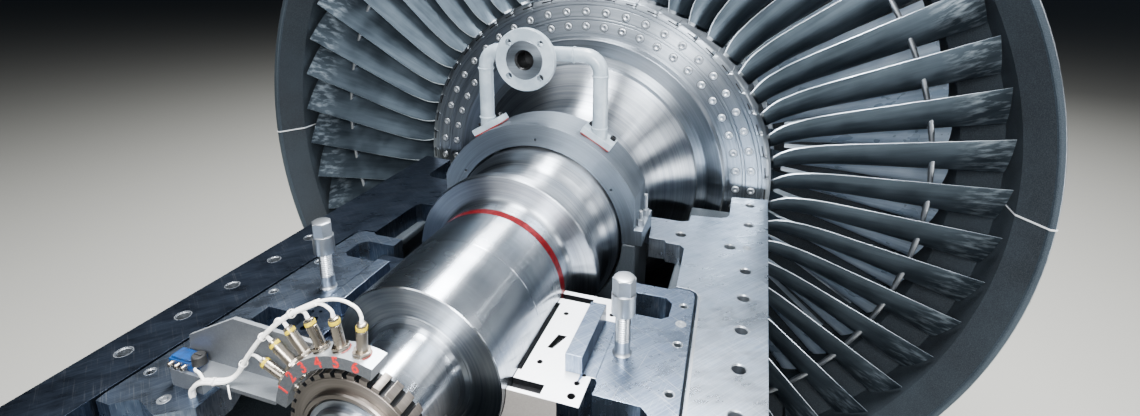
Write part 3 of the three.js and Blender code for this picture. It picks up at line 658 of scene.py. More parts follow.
# From and to along the shaft
RED_BAND = (-777, -753)
FRONT_STUB = (-1244, -1118)
FRONT_JOURNAL = (-1103, -720)
INLET_JOURNAL = (2300, 2698)
JOURNAL_LIMIT = 182
DISC_INNER = 405
DISC_BACK = 300


def shaft_zone(radius, station, face):
    """Red on the marked band, polished where it runs in a bearing, disc finish on the big faces."""
    if radius < JOURNAL_LIMIT and RED_BAND[0] < station < RED_BAND[1]:
        return 3
    if FRONT_STUB[0] < station < FRONT_STUB[1]:
        return 1
    if radius < JOURNAL_LIMIT and any(low < station < high for low, high in (FRONT_JOURNAL, INLET_JOURNAL)):
        return 1
    return 2 if radius > DISC_INNER and station < DISC_BACK else 0


class TURBINE_OT_shaft(bpy.types.Operator):
    """Turned shaft forging with journals, collar, flared hub and disc"""
    bl_idname = "turbine.shaft"
    bl_label = "Shaft forging"

    def execute(self, context):
        sizes = context.scene.turbine_rotor
        shaft = rounded(revolve(SHAFT_PROFILE, sizes.shaft_steps), 0.8)
        give(shaft, "shaft", SHAFT_FINISHES, BODY_OF_SHAFT, "forged_steel", "shaft_forging")
        paint_faces(shaft, shaft_zone)
        bolt = revolve([(0, 2882), (19, 2882), (22, 2885), (22, 2901)], 6, origin=spot(225, 0, 0))
        bolts = repeat_round(rounded(bolt, 1.2), 12)
        give(bolts, "coupling_bolts", ["bright_turned_steel"], BODY_OF_SHAFT, "bright_steel")
        return {"FINISHED"}


# Shares of the pitch from one tooth to the next: at the root or the tip
TOOTH = [("root", 0.0), ("tip", 0.02), ("tip", 0.33), ("tip", 0.63), ("root", 0.65), ("root", 0.82)]
WHEEL_RADII = {"root": 124, "tip": 132}
WHEEL_FRONT, WHEEL_BACK = -1279, -1244
SHADED_GAP_RADII = (123.2, 131)


def wheel_gap_shade(radius, station, face):
    """1 for the faces in the gaps between the teeth, painted black as painted shade."""
    return int(SHADED_GAP_RADII[0] < radius < SHADED_GAP_RADII[1] and abs(face.normal.y) < 0.5)


class TURBINE_OT_toothed_wheel(bpy.types.Operator):
    """Toothed speed wheel on the front stub"""
    bl_idname = "turbine.toothed_wheel"
    bl_label = "Toothed wheel"

    def execute(self, context):
        teeth = context.scene.turbine_rotor.wheel_teeth
        pitch = 360 / teeth
        front = WHEEL_FRONT
        outline = [around(WHEEL_RADII[end], (i + share) * pitch, front + 1) for i in range(teeth)
                   for end, share in TOOTH]
        wheel = prism(outline, WHEEL_BACK - front - 1, AXIS, 0.9)
        face = [(60, front), (122.5, front), (123, front + 0.4), (123, front + 8), (60, front + 8)]
        lip = [(92, front - 0.5), (92, front - 9), (99, front - 9), (101.5, front - 6.5),
               (101.5, front - 0.5)]
        wheel = joined([wheel, closed_ring(face, 96), closed_ring(lip, 96)])
        # the second finish is painted shade, black in the tooth gaps
        give(wheel, "speed_wheel", ["milled_wheel_steel", "black_oxide_steel"], BODY_OF_SHAFT,
             "forged_steel", "toothed_wheel")
        paint_faces(wheel, wheel_gap_shade)
        return {"FINISHED"}


# Blade sections: radius, trailing edge angle and station, leading edge angle and station, camber, thickness
LAST_STAGE = [
    (644, 9.7, 47, 7.9, 223, 42, 25), (660, 10.3, 48, 7.6, 222, 42, 24),
    (687, 11.3, 51, 7.0, 220, 40, 22), (710, 11.8, 53, 6.6, 218, 38, 21),
    (732, 12.05, 55, 6.2, 216, 36, 20), (785, 12.2, 59, 5.6, 213, 31, 18),
    (828, 12.1, 62, 5.2, 210, 27, 17), (890, 11.8, 67, 4.8, 206, 23, 15.5),
    (953, 11.47, 71, 4.6, 203, 20, 14), (1030, 11.1, 78, 4.5, 200, 16, 12.5),
    (1085, 10.9, 82, 4.4, 198, 13, 11.5), (1112, 10.8, 84, 4.4, 197, 12, 11),
    (1130, 10.72, 86, 4.4, 196, 11, 11), (1148, 10.65, 87, 4.4, 195, 10, 10.5),
    (1166, 10.6, 88, 4.4, 194, 9.5, 10), (1184, 10.55, 89, 4.4, 193.5, 9, 10),
    (1215, 10.45, 92, 4.4, 192.5, 7.5, 9.5), (1265, 10.34, 95, 4.4, 191, 6, 8.5),
    (1315, 10.2, 99, 4.4, 189.5, 4, 8), (1362, 10.1, 103, 4.4, 188, 2, 7),
]
SECOND_LAST = [
    (655, 9.6, 318, 7.4, 452, 30, 18), (760, 10.6, 322, 6.0, 446, 24, 15),
    (860, 10.6, 326, 5.0, 440, 18, 13), (1000, 10.1, 332, 4.6, 432, 12, 11),
    (1255, 9.6, 342, 4.4, 416, 2, 7),
]
CHORD_SHARES = [0.0, 0.04, 0.12, 0.25, 0.4, 0.52, 0.62, 0.7, 0.78, 0.88, 0.96, 1.0]
LAST_PLATFORM = [(622, 1.5), (641, 1.5), (645, 8), (650, 37), (650, 236), (622, 236)]
SECOND_PLATFORM = [(641, 306), (663, 306), (663, 464), (641, 464)]
PLATFORM_TOP = 652
# Swelling of each long blade where its damping pin sits
BOSS_RADIUS = 1148
BOSS_SHARE = 0.7
BOSS_HEIGHT = 7.0
BOSS_REACH = 34
BOSS_FALL = 2.2
DAMPING_STATION = 142
DAMPING_ANGLE = 7.4
# Circles of the root pins, and the angle of the first pin
PIN_CIRCLES = (587, 537)
PIN_ANGLE = 0.34


def aerofoil(t):
    """Half thickness along the chord, thin at the trailing edge, as a share of the greatest thickness."""
    return 0.09 * (1 - t) + 1.05 * math.sqrt(max(t * (1 - t), 0)) * (0.35 + 0.75 * t) + 0.05 * (t == 1.0)


def blade_mesh(name, sections, boss, finishes):
    """One twisted blade lofted through cambered sections. Its trailing edge has the second finish, a painted
    highlight line.
    """
    mesh = bmesh.new()
    rings = []
    for radius, te_angle, te_station, le_angle, le_station, camber, thickness in sections:
        trailing = Vector((radius * math.radians(te_angle), te_station))
        chord = Vector((radius * math.radians(le_angle), le_station)) - trailing
        normal = Vector((-chord.y, chord.x)).normalized()
        ring = []
        for side, shares in ((1, CHORD_SHARES), (-1, CHORD_SHARES[::-1])):
            for t in shares:
                bow = camber * 4 * t * (1 - t)
                lift = bow + side * thickness * aerofoil(t)
                if boss:
                    along = (t - BOSS_SHARE) * chord.length
                    away = math.hypot((radius - BOSS_RADIUS) / BOSS_REACH, along / BOSS_REACH)
                    lift += side * BOSS_HEIGHT * math.exp(-BOSS_FALL * away * away)
                place_on = trailing + chord * t + normal * lift
                ring.append(mesh.verts.new(around(radius, math.degrees(place_on.x / radius), place_on.y)))
        rings.append(ring)
    for low, high in zip(rings, rings[1:]):
        for i in range(len(low)):
            j = (i + 1) % len(low)
            face = mesh.faces.new((low[i], low[j], high[j], high[i]))
            # the faces round the trailing edge take the painted highlight
            face.material_index = int(j == 0)
    half = len(CHORD_SHARES)
    for ring, flip in ((rings[0], True), (rings[-1], False)):
        for i in range(half - 1):
            corners = (ring[i], ring[i + 1], ring[2 * half - 2 - i], ring[2 * half - 1 - i])
            mesh.faces.new(corners[::-1] if flip else corners)
    bmesh.ops.remove_doubles(mesh, verts=mesh.verts, dist=1e-5)
    bmesh.ops.recalc_face_normals(mesh, faces=mesh.faces)
    data = bpy.data.meshes.new(name)
    mesh.to_mesh(data)
    mesh.free()
    for label in finishes:
        data.materials.append(finish(label))
    piece = bpy.data.objects.new(name, data)
    bpy.context.scene.collection.objects.link(piece)
    return piece


def platform(profile, count):
    """One root platform of a blade row, with a thin joint to the next, copied round the disc."""
    joint = 0.06
    piece = closed_ring(profile, 6, turn=360 / count - joint, start=-360 / count * 0.75, fill=True)
    return repeat_round(rounded(piece, 0.8, 1), count)


class TURBINE_OT_last_stage(bpy.types.Operator):
    """Long twisted last-stage blades with their roots and pins"""
    bl_idname = "turbine.last_stage"
    bl_label = "Last-stage blades"

    def execute(self, context):
        sizes = context.scene.turbine_rotor
        # the second finish paints the trailing edges as a painted highlight
        finishes = ["blade_stainless_steel", "ground_edge_steel", "disc_alloy_steel"]
        blades = repeat_round(blade_mesh("blades", LAST_STAGE, True, finishes), sizes.blade_count)
        row = joined([blades, platform(LAST_PLATFORM, sizes.blade_count)])
        give(row, "last_stage_row", finishes, BODY_OF_SHAFT, "blade_steel", "last_stage_blades", smooth=38,
             even=False)
        paint_faces(row, lambda radius, station, face: 2 if radius < PLATFORM_TOP else face.material_index)
        self.damping_pins(sizes)
        self.root_pins(sizes)
        return {"FINISHED"}

    def damping_pins(self, sizes):
        """Tapered pins that bridge the gaps between the blades."""
        radius = sizes.damping_pin / 2 / MM
        start = around(BOSS_RADIUS, DAMPING_ANGLE, DAMPING_STATION)
        end = around(BOSS_RADIUS, DAMPING_ANGLE - 360 / sizes.blade_count, DAMPING_STATION)
        length = (end - start).length / MM
        profile = [(0, 0), (radius, 0), (radius * 1.15, length * 0.3), (radius * 0.8, length), (0, length)]
        pin = revolve(profile, 14, start, (end - start).normalized())
        pins = repeat_round(pin, sizes.blade_count)
        give(pins, "damping_pins", ["bright_turned_steel"], BODY_OF_SHAFT, "blade_steel")

    def root_pins(self, sizes):
        """Two rings of riveted root pins and the lock plates at the rim."""
        radius = sizes.root_pin / 2 / MM
        profile = [(0, -1.2), (radius * 0.25, -1.2), (radius * 0.4, -2.6), (radius * 0.66, -2.8),
                   (radius * 0.75, -1.3), (radius * 0.95, -1.1), (radius, 0.5)]
        heads = [revolve(profile, 14, around(r, PIN_ANGLE, 0)) for r in PIN_CIRCLES]
        pins = repeat_round(joined(heads), sizes.blade_count)
        give(pins, "root_pins", ["bright_turned_steel"], BODY_OF_SHAFT, "forged_steel", smooth=50)
        seat = [(radius + 0.2, 0.6), (radius + 0.4, -0.25), (radius + 1.6, -0.25), (radius + 1.8, 0.6)]
        rims = [closed_ring(seat, 18, around(r, PIN_ANGLE, 0)) for r in PIN_CIRCLES]
        rims = repeat_round(joined(rims), sizes.blade_count)
        give(rims, "root_pin_seats", ["black_oxide_steel"], BODY_OF_SHAFT, "forged_steel")
        corners = [around(r, a, 1.5) for r, a in ((630, -1.9), (630, 1.5), (634, 1.5), (634, -1.9))]
        locks = repeat_round(prism(corners, 1.1, -AXIS, 0.3, 1), sizes.blade_count)
        give(locks, "lock_plates", ["black_oxide_steel"], BODY_OF_SHAFT, "blade_steel")


class TURBINE_OT_second_stage(bpy.types.Operator):
    """Blades of the row behind the last stage"""
    bl_idname = "turbine.second_stage"
    bl_label = "Second last blades"

    def execute(self, context):
        count = context.scene.turbine_rotor.blade_count
        # both finishes paint light: the blades pale as painted reflection, their trailing edges as painted
        # highlight
        finishes = ["inner_blade_steel", "ground_edge_steel"]
        blades = repeat_round(blade_mesh("inner_blades", SECOND_LAST, False, finishes), count)
        give(joined([blades, platform(SECOND_PLATFORM, count)]), "second_last_row", finishes,
             BODY_OF_SHAFT, "blade_steel", "second_last_blades", smooth=38, even=False)
        return {"FINISHED"}


# Drum rows: station of the front edge, width, tip radius, blades
DRUM_ROWS = [
    (600, 120, 930, 92), (800, 100, 830, 104), (970, 90, 770, 112), (1130, 80, 730, 120),
    (1280, 75, 700, 124), (1420, 70, 680, 128), (1560, 65, 665, 132),
]
DRUM_RADIUS = 600


class TURBINE_OT_drum_rows(bpy.types.Operator):
    """Shrouded blade rows on the drum"""
    bl_idname = "turbine.drum_rows"
    bl_label = "Drum rows"

    def execute(self, context):
        for i, (front, width, tip, count) in enumerate(DRUM_ROWS):
            back = front + width
            shroud = tip - 10
            base = DRUM_RADIUS + 6
            foot = [(DRUM_RADIUS - 1, front), (base, front), (base, back), (DRUM_RADIUS - 1, back)]
            band = [(shroud, front), (tip - 2, front), (tip, front + 2), (tip, front + width * 0.3),
                    (tip - 4, front + width * 0.33), (tip - 4, front + width * 0.66),
                    (tip, front + width * 0.7), (tip, back - 2), (tip - 2, back), (shroud, back)]
            rings = [closed_ring(foot, 128), closed_ring(band, 128)]
            pitch = 360 / count
            outline = [around(base - 1, pitch * a, front + width * s) for a, s in
                       ((0.10, 0.06), (0.42, 0.3), (0.55, 0.62), (0.46, 0.94), (0.36, 0.62), (0.22, 0.34))]
            blade = prism(outline, shroud - base + 2, Vector((1, 0, 0)), 0.0)
            row = joined([*rings, repeat_round(blade, count)])
            give(row, f"shrouded_row_{i + 1}", ["row_blade_steel"], BODY_OF_SHAFT, "blade_steel",
                 f"drum_row_{i + 1}", smooth=40)
        return {"FINISHED"}


# Standing pieces

LARGE_HOLES_RIGHT = [(588, s) for s in (-1020, -896, -772, -648, -524, -256, -112)]
LARGE_HOLES_LEFT = [(-585, s) for s in (-1245, -1119, -993, -867, -741)]
OPEN_HOLES_RIGHT = [(543, -407), (405, -380)]
SMALL_HOLES_RIGHT = [(459, -725), (465, -862), (470, -1005)]
SMALL_HOLES_LEFT = [(-481, -1267), (-471, -981), (-467, -838)]
PLUGGED_HOLES = [(588, -400), (462, -792), (-388, -1310)]
GROOVE_EDGE = [(516.4, -1499), (500.4, -1029), (486.4, -677), (479.4, -660)]
GROOVE_EDGE_WIDTH = 6
PLUG = [(0, 0.3), (5, 0.3), (6, -0.4), (7, 0.3), (11.5, 0.3), (12.5, -0.5)]
JOINT_PLATES = (
    ("flange_right", "fresh_ground_steel", "ground_plate"),
    ("bearing_frame_right", "ground_steel", "ground_plate"),
    # the left flange is painted dark slate as painted shade
    ("flange_left", "oiled_steel", "dark_plate"),
    ("bearing_frame_left", "ground_steel", "dark_plate"),
)


def hole_rims(radius_mm, holes):
    """Bright countersunk lips of bored holes, flush with the joint plane."""
    outer, inner = radius_mm + 1.8, radius_mm - 1.3
    profile = [(outer, 0.25), (radius_mm + 0.4, 0.25), (inner, -2.4), (inner, -30), (outer, -30)]
    first = spot(*holes[0], 0)
    rim = closed_ring(profile, 32, first, UP)
    return repeat_at(rim, [spot(*hole, 0) - first for hole in holes[1:]])


class TURBINE_OT_joint_plates(bpy.types.Operator):
    """Ground joint plane of the opened housing"""
    bl_idname = "turbine.joint_plates"
    bl_label = "Joint plates"

    def execute(self, context):
        sizes = context.scene.turbine_housing
        large, small = sizes.large_hole / MM, sizes.small_hole / MM
        for node, label, slot in JOINT_PLATES:
            give(solid_copy(node, 1.5), node + "_plate", [label], BODY_OF_CASING, slot, node)
        rims = joined([hole_rims(large, LARGE_HOLES_RIGHT), hole_rims(large + 1, OPEN_HOLES_RIGHT),
                       hole_rims(small, SMALL_HOLES_RIGHT)])
        give(rims, "hole_rims_right", ["bright_turned_steel"], BODY_OF_CASING, "ground_plate")
        rims = joined([hole_rims(large, LARGE_HOLES_LEFT), hole_rims(small, SMALL_HOLES_LEFT)])
        give(rims, "hole_rims_left", ["bright_turned_steel"], BODY_OF_CASING, "dark_plate")
        # flat bands along the groove: bright on the right as a painted highlight of its rounded edge, dark
        # slate on the left as painted shade
        for side, name, label, slot in (
            (1, "groove_edge_highlight_right", "bright_turned_steel", "ground_plate"),
            (-1, "groove_edge_shade_left", "oiled_steel", "dark_plate"),
        ):
            inner = [spot(side * x, station, 0.3) for x, station in GROOVE_EDGE]
            outer = [spot(side * (x + GROOVE_EDGE_WIDTH), station, 0.3) for x, station in GROOVE_EDGE]
            band = prism([*inner, *reversed(outer)], 1.2, -UP, 0.25, 1)
            give(band, name, [label], BODY_OF_CASING, slot)
        plugs = [revolve(PLUG, 24, spot(*hole, 0), UP) for hole in PLUGGED_HOLES]
        give(joined(plugs), "plugged_holes", ["bright_turned_steel"], BODY_OF_CASING, "ground_plate")
        return {"FINISHED"}


def foot_bolt(x, station, z):
    """Washer, hexagon nut and bolt end, as three meshes."""
    foot = spot(x, station, z)
    return [disc(21, 0, 5, 28, foot, UP), rounded(disc(18, 5, 25, 6, foot, UP), 1.4),
            revolve([(10, 24), (10, 36), (8.5, 38), (0, 38)], 20, foot, UP)]


def castings(*nodes):
    """Castings as the CAD has them, with broad rounded edges."""
    for node in nodes:
        give(solid_copy(node, 6, 3), node + "_casting", ["primed_cast_iron"], BODY_OF_CASING, "casting",
             node)


class TURBINE_OT_housing(bpy.types.Operator):
    """Cast walls of the bearing housing"""
    bl_idname = "turbine.housing"
    bl_label = "Housing walls"

    def execute(self, context):
        castings("housing_wall_left", "housing_wall_right", "housing_front_wall", "housing_rear_wall",
                 "gland_ring_lower", "bearing_pedestal")
        ribs, bolts = [], []
        for side in (-1, 1):
            for station in range(-1380, -60, 240):
                ribs.append(block((side * 618, station - 10, -1578), (side * 640, station + 10, -61), 3))
            for station in range(-1440, -60, 240):
                bolts += foot_bolt(side * 652, station, -1584)
        give(joined(ribs), "housing_ribs", ["primed_cast_iron"], BODY_OF_CASING, "casting")
        give(joined(bolts), "housing_foot_bolts", ["black_oxide_steel"], BODY_OF_CASING, "casting")
        return {"FINISHED"}


# Holes in the bearing's joint face: across, station, radius
BEARING_HOLES = [
    (214, -838, 6), (215, -1001, 6), (302, -1033, 6), (302, -1067, 8), (312, -810, 6), (309, -1009, 4),
]
BEARING_FINISHES = [
    "bearing_face_steel", "ground_steel", "oiled_steel", "black_oxide_steel", "bearing_front_steel",
]
BEARING_FRONT = -1088
# Joint face: how far across the ground strip begins and the warm front ends, and the strip's two ends
STRIP_SIDE = 301
FRONT_SIDE = 281
STRIP_FRONT, STRIP_BACK = -1009, -833


def bearing_zone(face):
    """Joint face painted almost white as a painted reflection, with a ground strip; holes, bore, left half
    and outer front painted dark as painted shade; warm front.
    """
    x, station, z = [c / MM for c in face.center - spot(0, 0, 0)]
    front = face.normal.y < -FACING and station < BEARING_FRONT
    if front and x < FRONT_SIDE:
        return 4
    # the left half and the outer front are painted dark slate as painted shade
    if x < 0 or front:
        return 2
    # the bore and the hole walls just under the joint plane are painted black as painted shade
    if z < -1.5:
        return 3 if math.hypot(x, z) < 190 or z > -30 else 1
    return int(x > STRIP_SIDE and STRIP_FRONT < station < STRIP_BACK)


class TURBINE_OT_bearing(bpy.types.Operator):
    """Lower bearing half with its key bars"""
    bl_idname = "turbine.bearing"
    bl_label = "Bearing"

    def execute(self, context):
        half = solid_copy("bearing_lower_half", 1.0)
        for side in (-1, 1):
            for x, station, radius in BEARING_HOLES:
                half = cut_with(half, disc(radius, -45, 9, 20, spot(side * x, station, 0), UP))
        across = Vector((1, 0, 0))
        planes = [(across, spot(x, 0, 0)) for x in (STRIP_SIDE, 0, FRONT_SIDE)]
        half = split_at(half, [*planes, (AXIS, spot(0, STRIP_BACK, 0))])
        give(half, "bearing_half", BEARING_FINISHES, BODY_OF_CASING, "ground_plate", "bearing_lower_half")
        for face in half.data.polygons:
            face.material_index = bearing_zone(face) or face.material_index
        for side in ("left", "right"):
            node = "key_bar_" + side
            bar = give(solid_copy(node, 1.5), side + "_key_bar", ["ground_steel", "oiled_steel"],
                       BODY_OF_CASING, "forged_steel", node)
            # the faces turned towards +X are painted dark slate as painted shade
            paint_faces(bar, lambda radius, station, face: int(face.normal.x > FACING))
        return {"FINISHED"}


STUD_X = 362
STUD_STATION = -922
THREAD_CRESTS = range(36, 96, 5)
THREAD = [point for crest in THREAD_CRESTS for point in ((15.5, crest), (14, crest + 2.5))]
STUD = [
    (0, 0.4), (20, 0.4), (20, 1.6), (17.6, 4), (16.4, 8), (16, 11), (16, 33), (15.2, 34), *THREAD, (15, 97),
    (0, 97),
]
STUD_SLEEVE = [(14, 92), (22.5, 92), (24, 93.5), (24, 136.5), (22.5, 138), (14, 138)]
STUD_CROWN = [(20.5, 170), (20.5, 171.4), (19, 172.6), (13, 173.6), (0, 174)]


class TURBINE_OT_clamp_studs(bpy.types.Operator):
    """Studs with sleeve nuts beside the bearing"""
    bl_idname = "turbine.clamp_studs"
    bl_label = "Clamp studs"

    def execute(self, context):
        for side, name in ((-1, "left"), (1, "right")):
            foot = spot(side * STUD_X, STUD_STATION, 0)
            stud = revolve(STUD, 40, foot, UP)
            sleeve = closed_ring(STUD_SLEEVE, 48, foot, UP)
            nut = rounded(disc(23.6, 137, 171, 6, foot, UP, start=15), 1.4)
            crown = revolve(STUD_CROWN, 40, foot, UP)
            give(joined([stud, sleeve, nut, crown]), name + "_clamp_stud", ["bright_turned_steel"],
                 BODY_OF_CASING, "bright_steel", "clamp_stud_" + name)
        return {"FINISHED"}


PIPE_STATION = -432
PIPE_X = 172
PIPE_TOP = 512
PAD_ANGLE = 59.5
PAD_STATION = -424


def cap_screw(origin, along, radius, height):
    """Socket head screw."""
    socket = height * 0.45
    profile = [(0, socket), (radius * 0.5, socket), (radius * 0.55, height), (radius * 0.9, height),
               (radius, height * 0.86), (radius, 0)]
    return revolve(profile, 24, origin, along)


class TURBINE_OT_gland(bpy.types.Operator):
    """Upper half of the shaft gland"""
    bl_idname = "turbine.gland"
    bl_label = "Gland ring"

    def execute(self, context):
        give(solid_copy("gland_ring_upper", 1.2, 2, 25), "gland_half_ring", ["gland_steel"], BODY_OF_CASING,
             "casting", "gland_ring_upper", smooth=25)
        bolts = []
        for side in (-1, 1):
            for station, end in ((-452, 45), (-384, 67)):
                head = spot(side * 300.5, station, 46)
                bolts.append(disc(11.5, 0, 3, 28, head, UP))
                bolts.append(rounded(disc(10.6, 3, 20, 6, head, UP), 1.0))
                bolts.append(revolve([(6.5, 18), (6.5, end - 1), (5.5, end), (0, end)], 20, head, UP))
        give(joined(bolts), "gland_joint_bolts", ["bright_turned_steel"], BODY_OF_CASING, "bright_steel")
        return {"FINISHED"}


PIPE_BEND = 46
PIPE_FOOT = 284
PIPE_FLANGE_STATION = -558
PIPE_FLANGE = [
    (27, 4), (81, 4), (82.5, 5.5), (82.5, 21.5), (81, 23), (39, 23), (34, 26), (30.8, 33), (30.4, 60),
    (30.4, 108), (27, 108),
]
RAISED_FACE = [(26.9, 2), (50.4, 2), (51, 2.6), (51, 4.4), (26.9, 4.4)]
# black lining of the flange's bore: painted shade inside the pipe
FLANGE_BORE = [(27.4, 3), (22.5, 9), (22.5, 60), (0, 60), (0, 62), (27.4, 62)]
BOLT_CIRCLE = 62.5
# Weld beads: across, height and whether the pipe runs up or across there
PIPE_WELDS = [
    (-PIPE_X, 458, "up"), (PIPE_X, 458, "up"), (-PIPE_X, 312, "up"), (PIPE_X, 312, "up"),
    (96, PIPE_TOP, "across"), (-96, PIPE_TOP, "across"),
]


class TURBINE_OT_leak_off_pipe(bpy.types.Operator):
    """Leak-off pipe loop with its flange and welds"""
    bl_idname = "turbine.leak_off_pipe"
    bl_label = "Leak-off pipe"

    def execute(self, context):
        radius = context.scene.turbine_housing.pipe_radius / MM
        route = [(-PIPE_X, PIPE_FOOT)]
        for side in (-1, 1):
            x, z = side * (PIPE_X - PIPE_BEND), PIPE_TOP - PIPE_BEND
            for k in range(7):
                turn = math.radians(15 * k if side < 0 else 90 - 15 * k)
                route.append((x + side * PIPE_BEND * math.cos(turn), z + PIPE_BEND * math.sin(turn)))
        route.append((PIPE_X, PIPE_FOOT))
        run = tube([spot(x, PIPE_STATION, z) for x, z in route], radius, "run", 8, smooth=False)
        centre = spot(0, PIPE_FLANGE_STATION, PIPE_TOP)
        flange = closed_ring(PIPE_FLANGE, 64, centre)
        drill = repeat_round(disc(9, -5, 30, 24, centre + Vector((BOLT_CIRCLE * MM, 0, 0))), 4, centre)
        turn_about(drill, 45, centre)
        flange = cut_with(flange, drill)
        beads = []
        for x, z, way in PIPE_WELDS:
            deselect()
            bpy.ops.mesh.primitive_torus_add(
                major_segments=40, minor_segments=8, major_radius=radius * MM, minor_radius=3.0 * MM,
                location=spot(x, PIPE_STATION, z), rotation=(0, 0 if way == "up" else math.pi / 2, 0))
            beads.append(place(bpy.context.object))
        pads, gaskets, screws = [], [], []
        for side in (-1, 1):
            pad, gasket, pair = self.pad(side)
            pads.append(pad)
            gaskets.append(gasket)
            screws += pair
        pipe = joined([run, flange, *beads, *pads])
        give(pipe, "leak_off_loop", ["machine_enamel"], BODY_OF_CASING, "pipe_paint", "leak_off_pipe",
             smooth=40)
        give(joined(gaskets), "pad_gaskets", ["red_sealant"], BODY_OF_CASING, "pipe_paint")
        give(joined(screws), "pad_screws", ["black_oxide_steel"], BODY_OF_CASING, "bright_steel")
        face = closed_ring(RAISED_FACE, 64, centre)
        give(face, "raised_face", ["gland_steel"], BODY_OF_CASING, "pipe_paint")
        # the black lining inside the bore is painted shade
        bore = closed_ring(FLANGE_BORE, 48, centre)
        give(bore, "flange_bore_shade", ["black_oxide_steel"], BODY_OF_CASING, "pipe_paint")
        return {"FINISHED"}

    def pad(self, side):
        """Welded foot of the pipe on the ring, its gasket and its two screws."""
        out = outward(PAD_ANGLE if side > 0 else 180 - PAD_ANGLE)
        across = Vector((-out.z, 0, out.x))
        centre = spot(0, PAD_STATION, 0)
        plates = []
        for low, high, half, depth, bevel in ((322.5, 340, 49, 31, 1.2), (319.5, 322.4, 47, 30, 0.2)):
            corners = [centre + out * low * MM + across * a * MM + AXIS * b * MM for a, b in
                       ((-half, -depth), (half, -depth), (half, depth), (-half, depth))]
            plates.append(prism(corners, high - low, out, bevel))
        heads = [centre + out * 340 * MM + across * shift * MM + AXIS * 14 * MM for shift in (-36, 36)]
        return *plates, [cap_screw(head, out, 8.5, 9) for head in heads]


# Speed sensors: six on an arc over the wheel
SENSOR_STATION = -1259
SENSOR_FIRST = 84.6
SENSOR_PITCH = 14.1
SENSOR_COUNT = 6
SHELF_TOP = 36
SENSOR_BODY = [
    (0, 137), (8.4, 137), (9, 138), (9, 206.4), (8.3, 207), (8.3, 209.6), (7, 209.8), (7, 214.6), (8.2, 215),
    (8.2, 218.6), (7.4, 219.4), (5, 220.6), (0, 221),
]
SENSOR_NUT = [(9.2, 165.2), (15, 165.2), (15, 170.6), (9.2, 170.6)]
SENSOR_WASHER = [(8.8, 163.2), (14.6, 163.2), (14.6, 165), (8.8, 165)]
SENSOR_BAND = [(6.9, 209), (8.9, 209), (9.1, 209.5), (9.1, 214.5), (8.9, 215), (6.9, 215)]
SENSOR_SEALANT = [(13, 162.9), (15.6, 162.9), (15.8, 163.5), (14.8, 164.2), (13, 164.2)]
SENSOR_BOOT = [(0, 220.5), (3.6, 220.5), (3.4, 224), (2.8, 231), (0, 231)]


class TURBINE_OT_sensors(bpy.types.Operator):
    """Six inductive sensors with nuts and plugs"""
    bl_idname = "turbine.sensors"
    bl_label = "Sensors"

    def execute(self, context):
        bodies, bands, sealant, boots = [], [], [], []
        centre = spot(0, SENSOR_STATION, 0)
        for i in range(SENSOR_COUNT):
            out = outward(SENSOR_FIRST + i * SENSOR_PITCH)
            bodies.append(revolve(SENSOR_BODY, 28, centre, out))
            bodies.append(rounded(closed_ring(SENSOR_NUT, 6, centre, out), 0.9))
            bodies.append(closed_ring(SENSOR_WASHER, 28, centre, out))
            bands.append(closed_ring(SENSOR_BAND, 28, centre, out))
            # the first two sensors have the most sealant squeezed out
            squeezed = 250 if i < 2 else 60
            sealant.append(closed_ring(SENSOR_SEALANT, 28, centre, out, turn=squeezed, start=200, fill=True))
            boots.append(revolve(SENSOR_BOOT, 20, centre, out))
        nodes = [f"sensor_{k + 1}" for k in range(SENSOR_COUNT)]
        give(joined(bodies), "sensor_bodies", ["nickel_plating"], BODY_OF_CASING, "nickel", *nodes)
        give(joined(bands), "sensor_bands", ["yellow_band_plastic"], BODY_OF_CASING, "nickel")
        give(joined(sealant), "sensor_sealant", ["red_sealant"], BODY_OF_CASING, "nickel")
        give(joined(boots), "sensor_boots", ["white_pvc"], BODY_OF_CASING, "cable_jacket")
        return {"FINISHED"}


HOLDER_FINISHES = ["holder_aluminium", "anodised_aluminium"]
ARC_FRONT = SENSOR_STATION - 20 - 0.3
FIGURE_RADIUS = 152
FIGURE_SIZE = 28 * MM
FIGURE_DEPTH = 0.4 * MM
FIGURE_STROKE = 0.5 * MM


def faces_front(radius, station, face):
    # front faces take the second finish, painted dark as painted shade
    return int(face.normal.y < -FACING)


class TURBINE_OT_sensor_arc(bpy.types.Operator):
    """Numbered arc that holds the sensors"""
    bl_idname = "turbine.sensor_arc"
    bl_label = "Sensor arc"

    def execute(self, context):
        holder = give(solid_copy("sensor_arc", 0.8, 2, 25), "sensor_holder", HOLDER_FINISHES, BODY_OF_CASING,
                      "casting", "sensor_arc", smooth=28)
        paint_faces(holder, faces_front)
        figures = []
        for i in range(SENSOR_COUNT):
            angle = SENSOR_FIRST - 1 + i * SENSOR_PITCH
            deselect()
            bpy.ops.object.text_add(location=(0, 0, 0))
            text = bpy.context.object
            text.data.body = str(SENSOR_COUNT - i)
            text.data.size = FIGURE_SIZE
            text.data.extrude = FIGURE_DEPTH
            text.data.offset = FIGURE_STROKE
            text.data.align_x = "CENTER"
            text.data.align_y = "CENTER"
            bpy.ops.object.convert(target="MESH")
            upright = Matrix.Rotation(math.radians(90), 4, "X")
            lean = Matrix.Rotation(-math.radians(angle - 90), 4, "Y")
            figure = bpy.context.object
            middle = Matrix.Translation(around(FIGURE_RADIUS, angle, ARC_FRONT))
            figure.matrix_world = middle @ lean @ upright
            figures.append(place(figure))
        give(joined(figures), "sensor_numbers", ["red_marker_paint"], BODY_OF_CASING, "casting")
        return {"FINISHED"}


